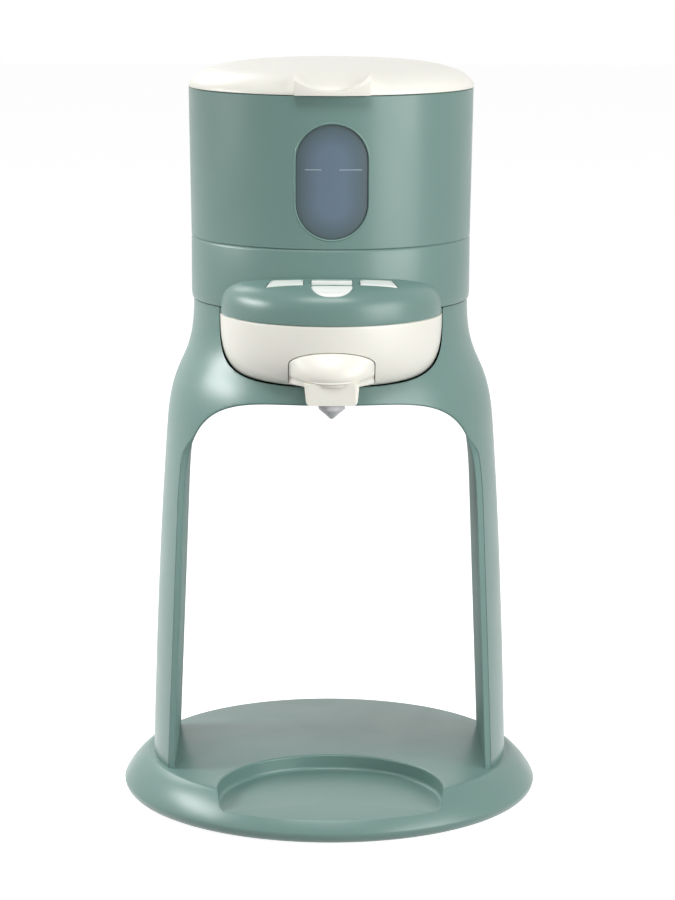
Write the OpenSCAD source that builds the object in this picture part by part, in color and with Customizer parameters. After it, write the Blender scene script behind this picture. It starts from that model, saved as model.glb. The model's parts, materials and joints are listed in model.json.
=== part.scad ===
// Formula water warmer: a water tank and a dispensing head on an arch stand,
// over a round base with a bottle recess.
// The origin is in the middle of the base's underside, +Z is up and the front looks along -Y.

/* [Base] */
// Widest diameter of the base
base_d = 206; // [200:1:214]
// Height of the base's flat top above the table
base_h = 20.1; // [18.1:0.5:24.1]
// Width of the rounded rim, seen from above
rim_w = 12.5; // [10.5:0.5:14]
// Height of the rim's widest line
rim_z = 6.4; // [5.4:0.2:8]
// How far the rim draws in below its widest line
rim_tuck = 6; // [4:0.5:8]
// Diameter of the bottle recess
recess_d = 109; // [96:1:112]
// Depth of the bottle recess
recess_depth = 7.8; // [4:0.2:9]
// Distance of the recess's middle in front of the stand's axis
recess_reach = 70; // [66:1:72]
// Diameter of a rubber foot
pad_d = 14; // [10:1:18]
// How far the rubber feet lift the base off the table
pad_lift = 1; // [0.8:0.1:1.6]

/* [Stand] */
// Distance of a leg's foot from the base's widest edge
leg_inset = 14.85; // [14:0.25:16]
// How far the shoulder stands out beyond the ring at the stand's top
shoulder_out = 13.25; // [12:0.25:14.5]
// How far the ring at the stand's top stays inside the housing's outside
ring_inset = 1.05; // [0.05:0.1:1.45]
// Clear height under the arch
arch_z = 207.6; // [195:1:220]
// Height of the stand's top above the arch
crown_h = 41.7; // [40:0.5:46]
// Width of a leg at its foot
leg_w = 11.65; // [10.65:0.25:13.65]
// Thickness of the arch liner
liner_t = 3; // [2.4:0.2:3.4]
// Wall thickness of the stand, base and housing
wall = 2.8; // [2.2:0.1:3.2]
// How far the foot of a leg flares over the rim
foot_flare = 4.85; // [3.5:0.25:6]
// Half of a leg foot's depth from front to back
foot_half = 39.6; // [39:0.2:42]

/* [Head] */
// Radius of the head, seen from above
head_r = 53.3; // [51:0.5:54.5]
// How far the head stands out in front of the housing
head_reach = 20.3; // [18.3:0.5:21.3]
// Height of the head's green cover
cover_h = 21.3; // [19.5:0.5:24]
// Depth of the head's bowl
bowl_h = 30.9; // [30:0.1:31.5]
// Wall thickness of the head's shells
head_wall = 2.5; // [2:0.1:3]
// Gap under the bowl, to the stand that cradles it
cradle_gap = 1.2; // [0.8:0.1:1.6]
// Gap beside the bowl
side_gap = 0.5; // [0.4:0.1:0.8]

/* [Keys] */
// Width of a side key
side_key_w = 16.4; // [14:0.2:17]
// Depth of a key from front to back
key_depth = 5.6; // [4.6:0.2:6]
// Width of the middle key
centre_key_w = 19; // [16:0.2:20]
// Green strip between two keys
key_space = 3.8; // [3:0.2:4.6]
// Green strip between the keys and the housing
key_inset = 3; // [2:0.2:3.4]
// How far a key can be pressed
key_travel = 0.8; // [0.5:0.1:1]
// Gap round a key
key_gap = 0.3; // [0.2:0.05:0.4]

/* [Nozzle] */
// Width of the nozzle block
block_w = 40.4; // [36:0.4:42]
// Height of the nozzle block's thumb pad
block_h = 16.4; // [15.6:0.2:18]
// How far the thumb lip stands out in front of the head
lip_out = 4.6; // [3:0.2:6]
// Width of the spout
spout_w = 24.8; // [22:0.4:28]
// Height of the spout below the thumb pad
spout_h = 9.3; // [8:0.3:10.1]
// Diameter of the nozzle tip's collar
tip_d = 12.7; // [11.5:0.2:12.9]
// Length of the nozzle tip below the spout
tip_h = 6.4; // [5:0.2:8]
// Gap round the nozzle block
block_gap = 0.35; // [0.3:0.05:0.5]
// Bore of the water way
bore_d = 4.6; // [3.6:0.2:5]

/* [Housing and tank] */
// Outer radius of the housing under the tank
housing_r = 68; // [67.6:0.1:68.6]
// Height of the housing
housing_h = 30.9; // [30:0.5:36]
// Height of the tank above the housing
tank_h = 71.7; // [64:1:90]
// How much wider the tank's mouth is than the housing
tank_flare = 1.1; // [0.6:0.1:1.6]
// Wall thickness of the tank
tank_wall = 2.4; // [2:0.1:2.8]
// How deep the tank's foot stands in the housing
nest_depth = 6.8; // [5:0.2:8]
// Width of the window
window_w = 34.4; // [28:0.4:40]
// Height of the window
window_h = 54.3; // [40:0.5:56]
// Height of the window's lower end above the tank's lower edge
window_z = 4.2; // [4.2:0.1:5.4]
// Gap between parts that lift apart
lift_gap = 0.3; // [0.25:0.05:0.4]

/* [Lid] */
// How far the lid stands out over the tank's mouth
lid_over = 0.2; // [0:0.1:0.9]
// Height of the lid's dome
lid_h = 12.5; // [11.5:0.5:16]
// Wall thickness of the lid
lid_wall = 2.2; // [1.8:0.1:2.6]
// Width of the finger lip
tab_w = 35.4; // [28:0.4:40]
// How far the finger lip stands out
tab_out = 3.5; // [2.5:0.25:4.5]
// Radius of the finger lip's scoop
scoop_r = 34; // [30:0.5:40]
// Slope of the scoop, up towards the rear
scoop_tilt = 8; // [4:0.5:10]

/* [Works] */
// Diameter of the flow heater
heater_d = 22; // [18:0.5:24]
// Space for the hoses between the flow heater's ends and the housing
heater_inset = 28; // [26:0.5:35]
// Diameter of the pump's head
pump_d = 25; // [22:0.5:26]
// Outer diameter of the hoses
hose_d = 7; // [6:0.25:7.5]
// Thickness of the chassis
chassis_t = 2; // [1.6:0.2:2.6]
// Thickness of the circuit boards
board_t = 1.6; // [1.2:0.2:2]

/* [Hidden] */

$fn = 96;
sage = [0.46, 0.57, 0.54];
cream = [0.93, 0.91, 0.86];
silver = [0.80, 0.82, 0.80];
smoke = [0.38, 0.44, 0.50];
steel = [0.72, 0.73, 0.75];
rubber = [0.16, 0.17, 0.17];
silicone = [0.86, 0.87, 0.88];
board_green = [0.10, 0.35, 0.22];

// Thin seam between fixed parts that touch
seam = 0.1;
base_r = base_d / 2;
rim_in = base_r - rim_w;

// Exponents of the rounded outlines, radial first and upright second
rim_pow = [1.38, 1.18];
cover_pow = [3.5, 3.5];
bowl_pow = [9.6, 2.8];
lid_pow = [4.1, 1.92];
arch_pow = [4.6, 3.8];

// Stand
leg_r = base_r - leg_inset;
arch_half = leg_r - leg_w;
ring_r = housing_r - ring_inset;
shoulder_r = ring_r + shoulder_out;
arch_rise = 67.6;
arch_spring = arch_z - arch_rise;
stand_top = arch_z + crown_h;
shoulder_drop = 18.3;
shoulder_z = arch_z - shoulder_drop;
leg_thinning = 0.006;
arch_lean = (leg_r - shoulder_r) / (shoulder_z - base_h) - leg_thinning;
foot_slope = 0.030;
shoulder_slope = 0.076;
flare_h = 8.2;
flare_lip = 0.4;
foot_block_h = 12;
foot_block_half = 26;
foot_corner = 6;
leg_screw_x = leg_r - wall - 3.3;
leg_screw_y = 15;
leg_screw_r = 1.45;
leg_head_r = 3.2;
leg_head_h = 2;
past = 2 * base_d;

// Head
seam_z = stand_top - 2.5;
head_crown = seam_z + cover_h;
head_floor = seam_z - bowl_h + head_wall;
head_y = housing_r + head_reach - head_r;
head_front = -housing_r - head_reach;
head_back = 30 - head_y;
key_rear_r = housing_r + key_inset;
key_front_r = key_rear_r + key_depth;
side_key_in = centre_key_w / 2 + key_space;
side_key_end = asin((side_key_in + side_key_w) / (key_rear_r + key_depth / 2));
key_proud = 0.35;
lens_proud = 0.25;
key_foot_z = seam_z + 10.5;
switch_z = seam_z - 2.7;
control_board_z = seam_z - 8.2;
post_d = 5;
post_bore = 2.4;
post_places = [for (y = [18, 6], s = [-1, 1]) [s * (side_key_in + 10), y - key_rear_r]];
head_screw_d = 2.5;
head_screw_l = 6.5;
head_screw_head_r = 3;
head_boss_r = 4;
head_boss_h = 1.3;
head_screw_places = [
    for (s = [-1, 1]) [s * (head_r - 23.3), 21 - head_y],
    for (s = [-1, 1]) [s * (side_key_in + 3.7), 11 - key_rear_r]];

// Nozzle
block_z = seam_z - 28.4;
block_crown = 5.1;
pocket_y = head_front + 16.3;
spout_y = head_front + 3.3;
spout_depth = 13.4;
spout_corner = 2.4;
spout_taper = 0.6;
tip_collar = 2.1;
tip_plug_h = 5.8;
water_z = block_z + 7.6;
spigot_r = 4.2;
spigot_nose = 7;
spigot_tail = 15;
ring_groove = [3.8, 5.4];
ring_in = spigot_r - 0.8;

// Housing and tank
housing_top = stand_top + housing_h;
tank_z = housing_top + lift_gap;
lid_z = tank_z + tank_h;
tank_low_r = housing_r + 0.3;
tank_top_r = housing_r + tank_flare;
lid_r = tank_top_r + lid_over;
nest_r = housing_r - wall - 0.6;
nest_z = tank_z - nest_depth;
seat_z = nest_z - lift_gap;
seat_t = 2.5;
window_t = 1.4;
window_lap = 1.4;
tab_rise = 1.75;
edge_cut = 0.9;

// Works
deck_z = arch_z + liner_t;
deck_top = deck_z + chassis_t;
works_back = 40;
works_y = housing_r - works_back;
works_room = sqrt(pow(housing_r - wall, 2) - pow(works_y, 2));
deck_front = works_y - 20;
heater_l = 2 * (housing_r - heater_inset);
heater_cap_l = 3;
bracket_x = 24;
bracket_t = 3;
works_gap = 2;
heater_z = deck_top + works_gap + heater_d / 2;
pump_z = heater_z + heater_d / 2 + works_gap + pump_d / 2;
motor_d = pump_d - 1;
motor_l = heater_l / 2;
motor_boss_r = 4;
motor_boss_l = 2.5;
pump_l = pump_d - 3;
pump_cap_l = 3;
pump_x = 4;
pump_port_x = pump_x + pump_l / 2;
port_d = hose_d - 1.6;
port_l = 4;
port_bore = bore_d - 1;
power_y = works_y + 22;
power_board_w = housing_r - 6;
power_board_h = 32;
control_board_w = 52;
control_board_l = 27;
switch_w = 6;
button_r = 1.6;
socket_r = 9.5;
socket_depth = 13;
valve_play = 2.4;
hub_gap = 0.9;
pin_r = 1.2;
gland_z = stand_top - 13;
gland_face = ring_r - 0.35;
gland_rear = gland_face - wall;
gland_r = 4.5;
gland_flange = 6;
gland_flange_t = 2;
cord_bore = 3.2;

// One quarter of a rounded outline, from the wide side up to the axis
function quarter(a, b, p, steps = 20) =
    [for (i = [0:steps]) let (t = 90 * i / steps)
        [a * pow(cos(t), 2 / p[0]), b * pow(sin(t), 2 / p[1])]];

function shifted(points, dx, dz, flip = 1) = [for (p = points) [p[0] + dx, flip * p[1] + dz]];

function reversed(list) = [for (i = [len(list) - 1:-1:0]) list[i]];

function bezier(a, b, c, d, steps) =
    [for (i = [0:steps]) let (t = i / steps, s = 1 - t)
        s * s * s * a + 3 * s * s * t * b + 3 * s * t * t * c + t * t * t * d];

// Point of the base's rim, from the flat top at 0 to the widest line at 90 degrees
function rim_point(t, drop = 0) =
    [rim_in + (rim_w - drop) * pow(sin(t), 2 / rim_pow[0]),
     rim_z + (base_h - drop - rim_z) * pow(cos(t), 2 / rim_pow[1])];

function rim_curve(drop = 0, steps = 16) = [for (i = [0:steps]) rim_point(90 * i / steps, drop)];

// Outer outline of the stand from the base to its top
function stand_outline(inset = 0) =
    let (leg_low = [leg_r - inset, base_h + 4],
         leg_top = [shoulder_r - inset, shoulder_z],
         ring = [ring_r - inset, stand_top],
         third = (leg_top[1] - leg_low[1]) / 3,
         bend = 0.562 * (stand_top - shoulder_z))
    concat(
        [[leg_r - inset, base_h]],
        bezier(leg_low, leg_low + third * [-foot_slope, 1],
               leg_top - third * [-shoulder_slope, 1], leg_top, 10),
        [for (p = bezier(leg_top, leg_top + bend * [-shoulder_slope, 1],
                         ring - [0, bend], ring, 18)) if (p[1] > shoulder_z + 0.1) p]);

// Half outline of the arch, grown outwards by grow
function arch_outline(grow = 0, steps = 22) =
    let (rise = arch_z - arch_spring + grow)
    concat(
        [[arch_half + grow + arch_lean, base_h - 1]],
        [for (i = [0:steps])
            let (t = 90 * i / steps, z = arch_spring + rise * pow(sin(t), 2 / arch_pow[1]))
            [(arch_half + grow - arch_lean * (z - base_h)) * pow(cos(t), 2 / arch_pow[0]), z]]);

// Front outline of the nozzle block's thumb pad, grown by grow
function block_outline(grow = 0, steps = 12) =
    let (half = block_w / 2 + grow, low = block_z - grow, high = block_z + block_h + grow)
    concat(
        [[-half, low], [half, low]],
        [for (i = [0:2 * steps])
            let (t = 90 * i / steps)
            [half * sign(cos(t)) * pow(abs(cos(t)), 2 / 2.6),
             high - block_crown + block_crown * sin(t)]]);

module turned(points) rotate_extrude() polygon(points);

module along_y(from, to) translate([0, to, 0]) rotate([90, 0, 0]) linear_extrude(to - from) children();

module rod_x(r, from, to) translate([from, 0, 0]) rotate([0, 90, 0]) cylinder(r = r, h = to - from);

module rod_y(r, from, to) translate([0, from, 0]) rotate([-90, 0, 0]) cylinder(r = r, h = to - from);

module ring(outer, inner, low, high) translate([0, 0, low]) difference() {
    cylinder(r = outer, h = high - low);
    translate([0, 0, -1]) cylinder(r = inner, h = high - low + 2);
}

module on_head() translate([0, -head_y, 0]) children();

module at_corners(x, y) for (sx = [-1, 1], sy = [-1, 1]) translate([sx * x, sy * y, 0]) children();

module at_angles(r, angles) for (a = angles) rotate(a) translate([r, 0, 0]) children();

// Solid tube with a smooth run through four control points
module hose_run(a, b, c, d, r, steps = 16, sides = 8) {
    path = bezier(a, b, c, d, steps);
    along = [for (i = [0:steps])
        let (u = i == 0 ? b - a : i == steps ? d - c : path[i + 1] - path[i - 1]) u / norm(u)];
    start_side = cross(along[0], abs(along[0][2]) > 0.9 ? [1, 0, 0] : [0, 0, 1]);
    frames = [for (i = 0, s = start_side; i <= steps;
        i = i + 1, s = i <= steps ? s - (s * along[i]) * along[i] : s) s / norm(s)];
    points = [for (i = [0:steps]) for (k = [0:sides - 1])
        let (n = cross(along[i], frames[i]), t = 360 * k / sides)
        path[i] + r * (cos(t) * frames[i] + sin(t) * n)];
    walls = [for (i = [0:steps - 1]) for (k = [0:sides - 1])
        let (a0 = i * sides + k, a1 = i * sides + (k + 1) % sides) each
        [[a0, a0 + sides, a1 + sides], [a0, a1 + sides, a1]]];
    start = [for (k = [1:sides - 2]) [0, k, k + 1]];
    far = steps * sides;
    end = [for (k = [1:sides - 2]) [far, far + k + 1, far + k]];
    polyhedron(points, concat(walls, start, end), convexity = 6);
}

// Whole head as one solid, grown by grow all round or by another amount below
module head_solid(grow = 0, below = undef) {
    drop = is_undef(below) ? grow : below;
    on_head() turned(concat(
        shifted(quarter(head_r + grow, cover_h + grow, cover_pow), 0, seam_z),
        reversed(shifted(quarter(head_r + grow, bowl_h + drop, bowl_pow), 0, seam_z, -1))));
}

module arch_solid(grow, reach = base_d) along_y(-reach, reach) {
    half = arch_outline(grow);
    polygon(concat(half, reversed([for (p = half) if (p[0] > 0.01) [-p[0], p[1]]])));
}

// Lid and what closes the tank's mouth
module lid_dome(grow = 0) translate([0, 0, lid_z]) turned(concat(
    [[0, -1], [lid_r + grow, -1]], quarter(lid_r + grow, lid_h + grow, lid_pow, 24)));

module lid_tab() difference() {
    intersection() {
        translate([0, 0, lid_z]) cylinder(r = lid_r + tab_out, h = lid_h, $fn = 180);
        translate([-tab_w / 2, -lid_r - 2 * tab_out, lid_z]) cube([tab_w, lid_r / 2, lid_h]);
    }
    translate([0, -lid_r - tab_out, lid_z + tab_rise]) rotate([scoop_tilt, 0, 0])
        translate([0, 0, scoop_r]) rod_y(scoop_r, -scoop_r / 2, lid_r);
}

module lid() color(cream) difference() {
    union() {
        lid_dome();
        lid_tab();
    }
    lid_dome(-lid_wall);
    translate([0, 0, lid_z - lid_h]) cylinder(r = lid_r + 2 * tab_out, h = lid_h);
}

mouth_r = tank_top_r - tank_wall;
plug_r = mouth_r - 2.1;
plug_h = 5.5;
plug_wall = 3.2;
plug_plate_t = 2;
plug_plate_gap = 1.1;
seal_z = lid_z - 4;
seal_h = 2;
seal_groove = 1.2;

module lid_liner() color(cream) difference() {
    union() {
        translate([0, 0, lid_z]) cylinder(r = lid_r - lid_wall - plug_plate_gap, h = plug_plate_t);
        translate([0, 0, lid_z - plug_h]) cylinder(r = plug_r, h = plug_h + 1);
    }
    translate([0, 0, lid_z - plug_h - 1]) cylinder(r = plug_r - plug_wall, h = plug_h + 1);
    ring(plug_r + 1, plug_r - seal_groove, seal_z, seal_z + seal_h);
}

module lid_seal() color(silicone) ring(mouth_r - lift_gap, plug_r - seal_groove, seal_z, seal_z + seal_h);

// Tank
module tank_cone(inset, low, high) {
    slope = (tank_top_r - tank_low_r) / tank_h;
    turned([[0, low], [tank_low_r - inset + slope * (low - tank_z), low],
            [tank_low_r - inset + slope * (high - tank_z), high], [0, high]]);
}

module pill(grow) translate([0, 0, tank_z + window_z + window_h / 2]) along_y(-2 * lid_r, 0)
    union() {
        for (s = [-1, 1]) translate([0, s * (window_h - window_w) / 2]) circle(window_w / 2 + grow);
        square([window_w + 2 * grow, window_h - window_w], center = true);
    }

module tank_shell() color(sage) difference() {
    turned([
        [0, nest_z], [nest_r - 1, nest_z], [nest_r, nest_z + 1], [nest_r, tank_z],
        [tank_low_r - edge_cut, tank_z], [tank_low_r, tank_z + edge_cut],
        [tank_top_r, lid_z - lift_gap], [mouth_r, lid_z - lift_gap],
        [tank_low_r - tank_wall, tank_z + tank_wall + seam], [nest_r - tank_wall, tank_z + tank_wall],
        [nest_r - tank_wall, nest_z + tank_wall], [0, nest_z + tank_wall]]);
    pill(0);
    translate([0, 0, nest_z - 1]) cylinder(r = socket_r - lift_gap + seam, h = tank_wall + 2);
}

module tank_window() color(smoke) {
    intersection() {
        difference() {
            tank_cone(0.4, tank_z, lid_z);
            tank_cone(tank_wall + window_t, tank_z - 1, lid_z + 1);
        }
        pill(-seam);
    }
    intersection() {
        difference() {
            tank_cone(tank_wall + seam, tank_z, lid_z);
            tank_cone(tank_wall + window_t, tank_z - 1, lid_z + 1);
        }
        pill(window_lap);
    }
}

tank_floor_z = nest_z + tank_wall;
filter_r = socket_r + 4;
filter_h = 13;
filter_t = 1.2;
slot_w = 1.8;
slot_h = 7;

module tank_filter() color(silicone) translate([0, 0, tank_floor_z]) difference() {
    cylinder(r = filter_r, h = filter_h);
    translate([0, 0, -1]) cylinder(r = filter_r - filter_t, h = filter_h - filter_t + 1);
    for (a = [0:30:150]) rotate(a) translate([-filter_r - 1, -slot_w / 2, (filter_h - slot_h) / 2])
        cube([2 * filter_r + 2, slot_w, slot_h]);
}

// Valve in the tank's floor
valve_z = tank_floor_z - socket_depth - 2 * lift_gap;
valve_seat_t = 2;
valve_bore_r = 7;
valve_hole_r = 4;
flange_r = socket_r + 2.4;
flange_t = 1.8;
stem_r = 1.5;
stem_guide_w = 2;
plunger_r = 6;
plunger_t = 1.6;
o_ring_z = valve_z + 4;
o_ring_h = 1.6;
o_ring_in = socket_r - 1.4;

module valve_body() color(silver) difference() {
    union() {
        translate([0, 0, valve_z]) cylinder(r = socket_r - lift_gap, h = tank_floor_z - valve_z);
        translate([0, 0, tank_floor_z]) cylinder(r = flange_r, h = flange_t);
    }
    difference() {
        translate([0, 0, valve_z + valve_seat_t]) cylinder(r = valve_bore_r, h = 2 * socket_depth);
        translate([-flange_r, -stem_guide_w / 2, tank_floor_z + flange_t - 1.5])
            cube([2 * flange_r, stem_guide_w, 1.5]);
    }
    translate([0, 0, valve_z - 1]) cylinder(r = valve_hole_r, h = valve_seat_t + 2);
    translate([0, 0, valve_z]) cylinder(r = stem_r + seam, h = 2 * socket_depth);
    ring(socket_r, o_ring_in, o_ring_z, o_ring_z + o_ring_h);
}

module valve_seal() color(rubber) ring(socket_r - seam / 2, o_ring_in, o_ring_z, o_ring_z + o_ring_h);

plunger_z = valve_z + valve_seat_t + valve_play + seam;

module valve_plunger() color(silver) translate([0, 0, plunger_z]) {
    cylinder(r = plunger_r, h = plunger_t);
    cylinder(r = stem_r, h = tank_floor_z + flange_t + valve_play - plunger_z + 1);
}

module valve_spring() color(steel) {
    wire = 0.4;
    coil = 3.6;
    turns = 5;
    steps = 10 * turns;
    low = plunger_z + plunger_t + seam + wire;
    high = tank_floor_z + flange_t - 1.5 - seam - wire;
    sides = 6;
    points = [for (i = [0:steps]) for (k = [0:sides - 1])
        let (a = 360 * turns * i / steps, t = 360 * k / sides, r = coil + wire * cos(t))
        [r * cos(a), r * sin(a), low + (high - low) * i / steps + wire * sin(t)]];
    walls = [for (i = [0:steps - 1]) for (k = [0:sides - 1])
        let (a0 = i * sides + k, a1 = i * sides + (k + 1) % sides) each
        [[a0, a1 + sides, a0 + sides], [a0, a1, a1 + sides]]];
    far = steps * sides;
    ends = concat([for (k = [1:sides - 2]) [0, k + 1, k]],
                  [for (k = [1:sides - 2]) [far, far + k, far + k + 1]]);
    polyhedron(points, concat(walls, ends), convexity = 10);
}

// Housing under the tank
floor_t = 2.4;
collar_h = 5;
collar_in = housing_r - wall - 3.8;
collar_out = ring_r - wall - 0.25;
ledge_w = 3;
ledge_z = seat_z - seat_t;
module housing_shell() color(sage) difference() {
    turned([
        [housing_r - wall, stand_top + floor_t], [collar_in, stand_top + floor_t],
        [collar_in, stand_top - collar_h], [collar_out, stand_top - collar_h],
        [collar_out, stand_top], [housing_r - 1.4, stand_top],
        [housing_r - 0.2, stand_top + 1.1], [housing_r, housing_top - edge_cut],
        [housing_r - edge_cut, housing_top], [housing_r - wall, housing_top],
        [housing_r - wall, ledge_z], [housing_r - wall - ledge_w, ledge_z],
        [housing_r - wall - ledge_w, ledge_z - 2], [housing_r - wall, ledge_z - 4.5]]);
    intersection() {
        head_solid(0.5);
        translate([0, 0, stand_top - cover_h]) cylinder(r = housing_r - wall, h = 3 * cover_h);
    }
    intersection() {
        head_solid(lift_gap);
        translate([0, 0, stand_top - cover_h]) cylinder(r = housing_r + wall, h = cover_h);
    }
}

hub_z = valve_z - hub_gap;
hub_port_z = hub_z - seat_t - port_l;

module tank_seat() color(silver) {
    difference() {
        union() {
            translate([0, 0, ledge_z]) cylinder(r = housing_r - wall - 2 * seam, h = seat_t);
            translate([0, 0, hub_z - seat_t]) cylinder(r = flange_r, h = seat_z - hub_z + seat_t);
            translate([0, 0, hub_port_z]) cylinder(d = port_d, h = port_l + 1);
        }
        translate([0, 0, hub_z]) cylinder(r = socket_r, h = 2 * socket_depth);
        translate([0, 0, hub_port_z - 1]) cylinder(d = port_bore, h = 2 * socket_depth);
    }
    translate([-socket_r - 0.5, -0.8, hub_z - 0.5]) cube([2 * socket_r + 1, 1.6, hub_gap - lift_gap + 0.5]);
    translate([0, 0, hub_z - 0.5]) cylinder(r = pin_r, h = plunger_z - seam - hub_z + 0.5);
}

// Chassis and what it carries
module chassis() color(silver) difference() {
    union() {
        intersection() {
            translate([0, 0, deck_z]) cylinder(r = housing_r - wall - 4.5, h = chassis_t);
            translate([-housing_r, deck_front, deck_z]) cube([2 * housing_r, housing_r, chassis_t]);
        }
        for (x = [-bracket_x, bracket_x])
            translate([x - bracket_t / 2, works_y - pump_d / 2 - bracket_t, deck_top - 1])
                cube([bracket_t, pump_d + 2 * bracket_t, pump_z - deck_top + 1]);
        for (x = [4 - power_board_w / 2, power_board_w / 2 - 4])
            translate([x - 2, power_y - 3, deck_top - 1]) cube([4, 6, 9]);
    }
    translate([0, works_y, heater_z]) rod_x(heater_d / 2 + seam, -housing_r, housing_r);
    translate([0, works_y, pump_z]) rod_x(motor_d / 2 + seam, -housing_r, 0);
    translate([0, works_y, pump_z]) rod_x(pump_d / 2 + seam, 0, housing_r);
    translate([-power_board_w / 2 - 1, power_y - seam, deck_top + works_gap])
        cube([power_board_w + 2, board_t + 2 * seam, power_board_h]);
}

// Flow heater with a flat for the thermostat and a pad for the sensor
heater_flat = 14;

module heater() color(steel) translate([0, works_y, heater_z]) {
    rod_x(heater_d / 2, -heater_l / 2 + heater_cap_l, heater_l / 2 - heater_cap_l);
    rod_x(heater_d / 2 - 2, -heater_l / 2, heater_l / 2);
    difference() {
        rod_x(port_d / 2, -heater_l / 2 - port_l, heater_l / 2 + port_l);
        rod_x(port_bore / 2, -heater_l / 2 - port_l - 1, -heater_l / 2 + 1);
        rod_x(port_bore / 2, heater_l / 2 - 1, heater_l / 2 + port_l + 1);
    }
    translate([-heater_flat / 2, heater_d / 2 - 3, -heater_flat / 2]) cube([heater_flat, 4.2, heater_flat]);
    translate([-3, -heater_d / 2 - 1, -3]) cube([6, 4, 6]);
}

module thermostat() color(rubber) translate([0, works_y + heater_d / 2 + 1.2, heater_z]) {
    rod_y(heater_flat / 2 - 0.5, 0, 3);
    for (s = [-1, 1]) translate([s * 3.2 - 1.5, 3, -0.4]) cube([3, 3.5, 0.8]);
}

module temp_sensor() color(silver) translate([0, works_y - heater_d / 2 - 1, heater_z]) {
    rod_y(2.4, -4, 0);
    rod_y(1.2, -6, 0);
}

module pump_motor() color(steel) translate([pump_x, works_y, pump_z]) {
    rod_x(motor_d / 2, -motor_l, 0);
    rod_x(motor_boss_r, -motor_l - motor_boss_l, -motor_l);
}

module pump_head() color(rubber) translate([0, works_y, pump_z]) {
    rod_x(pump_d / 2, pump_x, pump_x + pump_l);
    rod_x(pump_d / 2 - 3, pump_x + pump_l, pump_x + pump_l + pump_cap_l);
    rod_x(port_d / 2, pump_x + pump_l + pump_cap_l, pump_x + pump_l + pump_cap_l + port_l);
    translate([pump_port_x, 0, 0]) rod_y(port_d / 2, -pump_d / 2 - port_l, 0);
}

module hose_inlet() color(silicone) {
    top = [0, 0, hub_port_z];
    far = [pump_port_x, works_y - pump_d / 2 - port_l, pump_z];
    hose_run(top, top - [0, 0, 11], far - [0, 15, 0], far, hose_d / 2);
}

module hose_pump() color(silicone) {
    top = [pump_x + pump_l + pump_cap_l + port_l, works_y, pump_z];
    low = [heater_l / 2 + port_l, works_y, heater_z];
    hose_run(top, top + [0.65 * (works_room - top[0]), 0, 0],
             low + [0.95 * (works_room - low[0]), 0, 0], low, hose_d / 2);
}

module hose_outlet() color(silicone) {
    rear = [-heater_l / 2 - port_l, works_y, heater_z];
    front = [0, pocket_y + spigot_tail, water_z];
    hose_run(rear, rear - [1.75 * (works_room + rear[0]), 0, 0],
             front + [0, 0.435 * (rear[1] - front[1]), 0], front, hose_d / 2, 20);
}

// Spigot of the water way, through the head's pocket wall
module outlet_spigot() color(silver) translate([0, pocket_y, water_z]) difference() {
    union() {
        rod_y(spigot_r, -spigot_nose, 3);
        rod_y(port_d / 2, 0, spigot_tail);
        rod_y(spigot_r + 2.5, head_wall, head_wall + 2.5);
    }
    rod_y(port_bore / 2, -spigot_nose - 1, spigot_tail + 1);
    difference() {
        rod_y(spigot_r + 1, -ring_groove[1], -ring_groove[0]);
        rod_y(ring_in, -ring_groove[1] - 1, -ring_groove[0] + 1);
    }
}

module spigot_seal() color(rubber) translate([0, pocket_y, water_z]) difference() {
    rod_y(spigot_r + 0.25, -ring_groove[1], -ring_groove[0]);
    rod_y(ring_in, -ring_groove[1] - 1, -ring_groove[0] + 1);
}

// Power board with its transformer and two capacitors
module power_board() color(board_green) {
    translate([-power_board_w / 2, power_y, deck_top + works_gap])
        cube([power_board_w, board_t, power_board_h]);
    translate([-22, power_y + board_t, deck_top + 8]) cube([16, 5, 18]);
    for (x = [4, 15]) translate([x, power_y + board_t, deck_top + 14]) rod_y(4, 0, 5);
}

module control_board() color(board_green) difference() {
    union() {
        translate([-control_board_w / 2, -key_front_r, control_board_z])
            cube([control_board_w, control_board_l, board_t]);
        for (p = key_centres) translate([p[0] - switch_w / 2, p[1] - switch_w / 2, control_board_z])
            cube([switch_w, switch_w, switch_z - 0.4 - control_board_z]);
        for (p = key_centres) translate([p[0], p[1], control_board_z])
            cylinder(r = button_r, h = switch_z - control_board_z, $fn = 32);
    }
    for (p = post_places) translate([p[0], p[1], control_board_z - 1])
        cylinder(d = post_bore, h = board_t + 2, $fn = 24);
}

// Keys, on arcs round the stand's axis
key_mid_r = (key_rear_r + key_front_r) / 2;
key_mid = asin((side_key_in + side_key_w / 2) / key_mid_r);
key_centres = [for (a = [-key_mid, 0, key_mid]) key_mid_r * [sin(a), -cos(a)]];

function arc_points(r, from, to, steps = 6) =
    [for (i = [0:steps]) let (a = from + (to - from) * i / steps) [r * sin(a), -r * cos(a)]];

// Plan of the right key, between its straight inner end and its radial outer end
module side_key_plan(grow = 0) {
    rear = key_rear_r - grow;
    front = key_front_r + grow;
    left = side_key_in - grow;
    end = side_key_end + grow / key_mid_r * 180 / PI;
    polygon(concat(
        arc_points(rear, asin(left / rear), end - 1),
        arc_points(front, end, asin(left / front))));
}

module centre_key_plan(grow = 0) {
    half = centre_key_w / 2 + grow;
    rear = key_rear_r - grow;
    front = key_front_r + grow;
    polygon(concat(
        arc_points(rear, -asin(half / rear), asin(half / rear)),
        arc_points(front, asin(half / front), -asin(half / front))));
}

// Plan of the window in front of the middle key
lens_depth = 7.8;
lens_rear = -key_front_r - 0.5;

module lens_plan(grow = 0) {
    half = centre_key_w / 2 + 0.4 + grow;
    deep = lens_depth + grow;
    polygon([for (i = [0:24]) let (t = 180 + 7.5 * i)
        [half * sign(cos(t)) * pow(abs(cos(t)), 0.8), lens_rear + deep * sin(t)]]);
}

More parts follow.
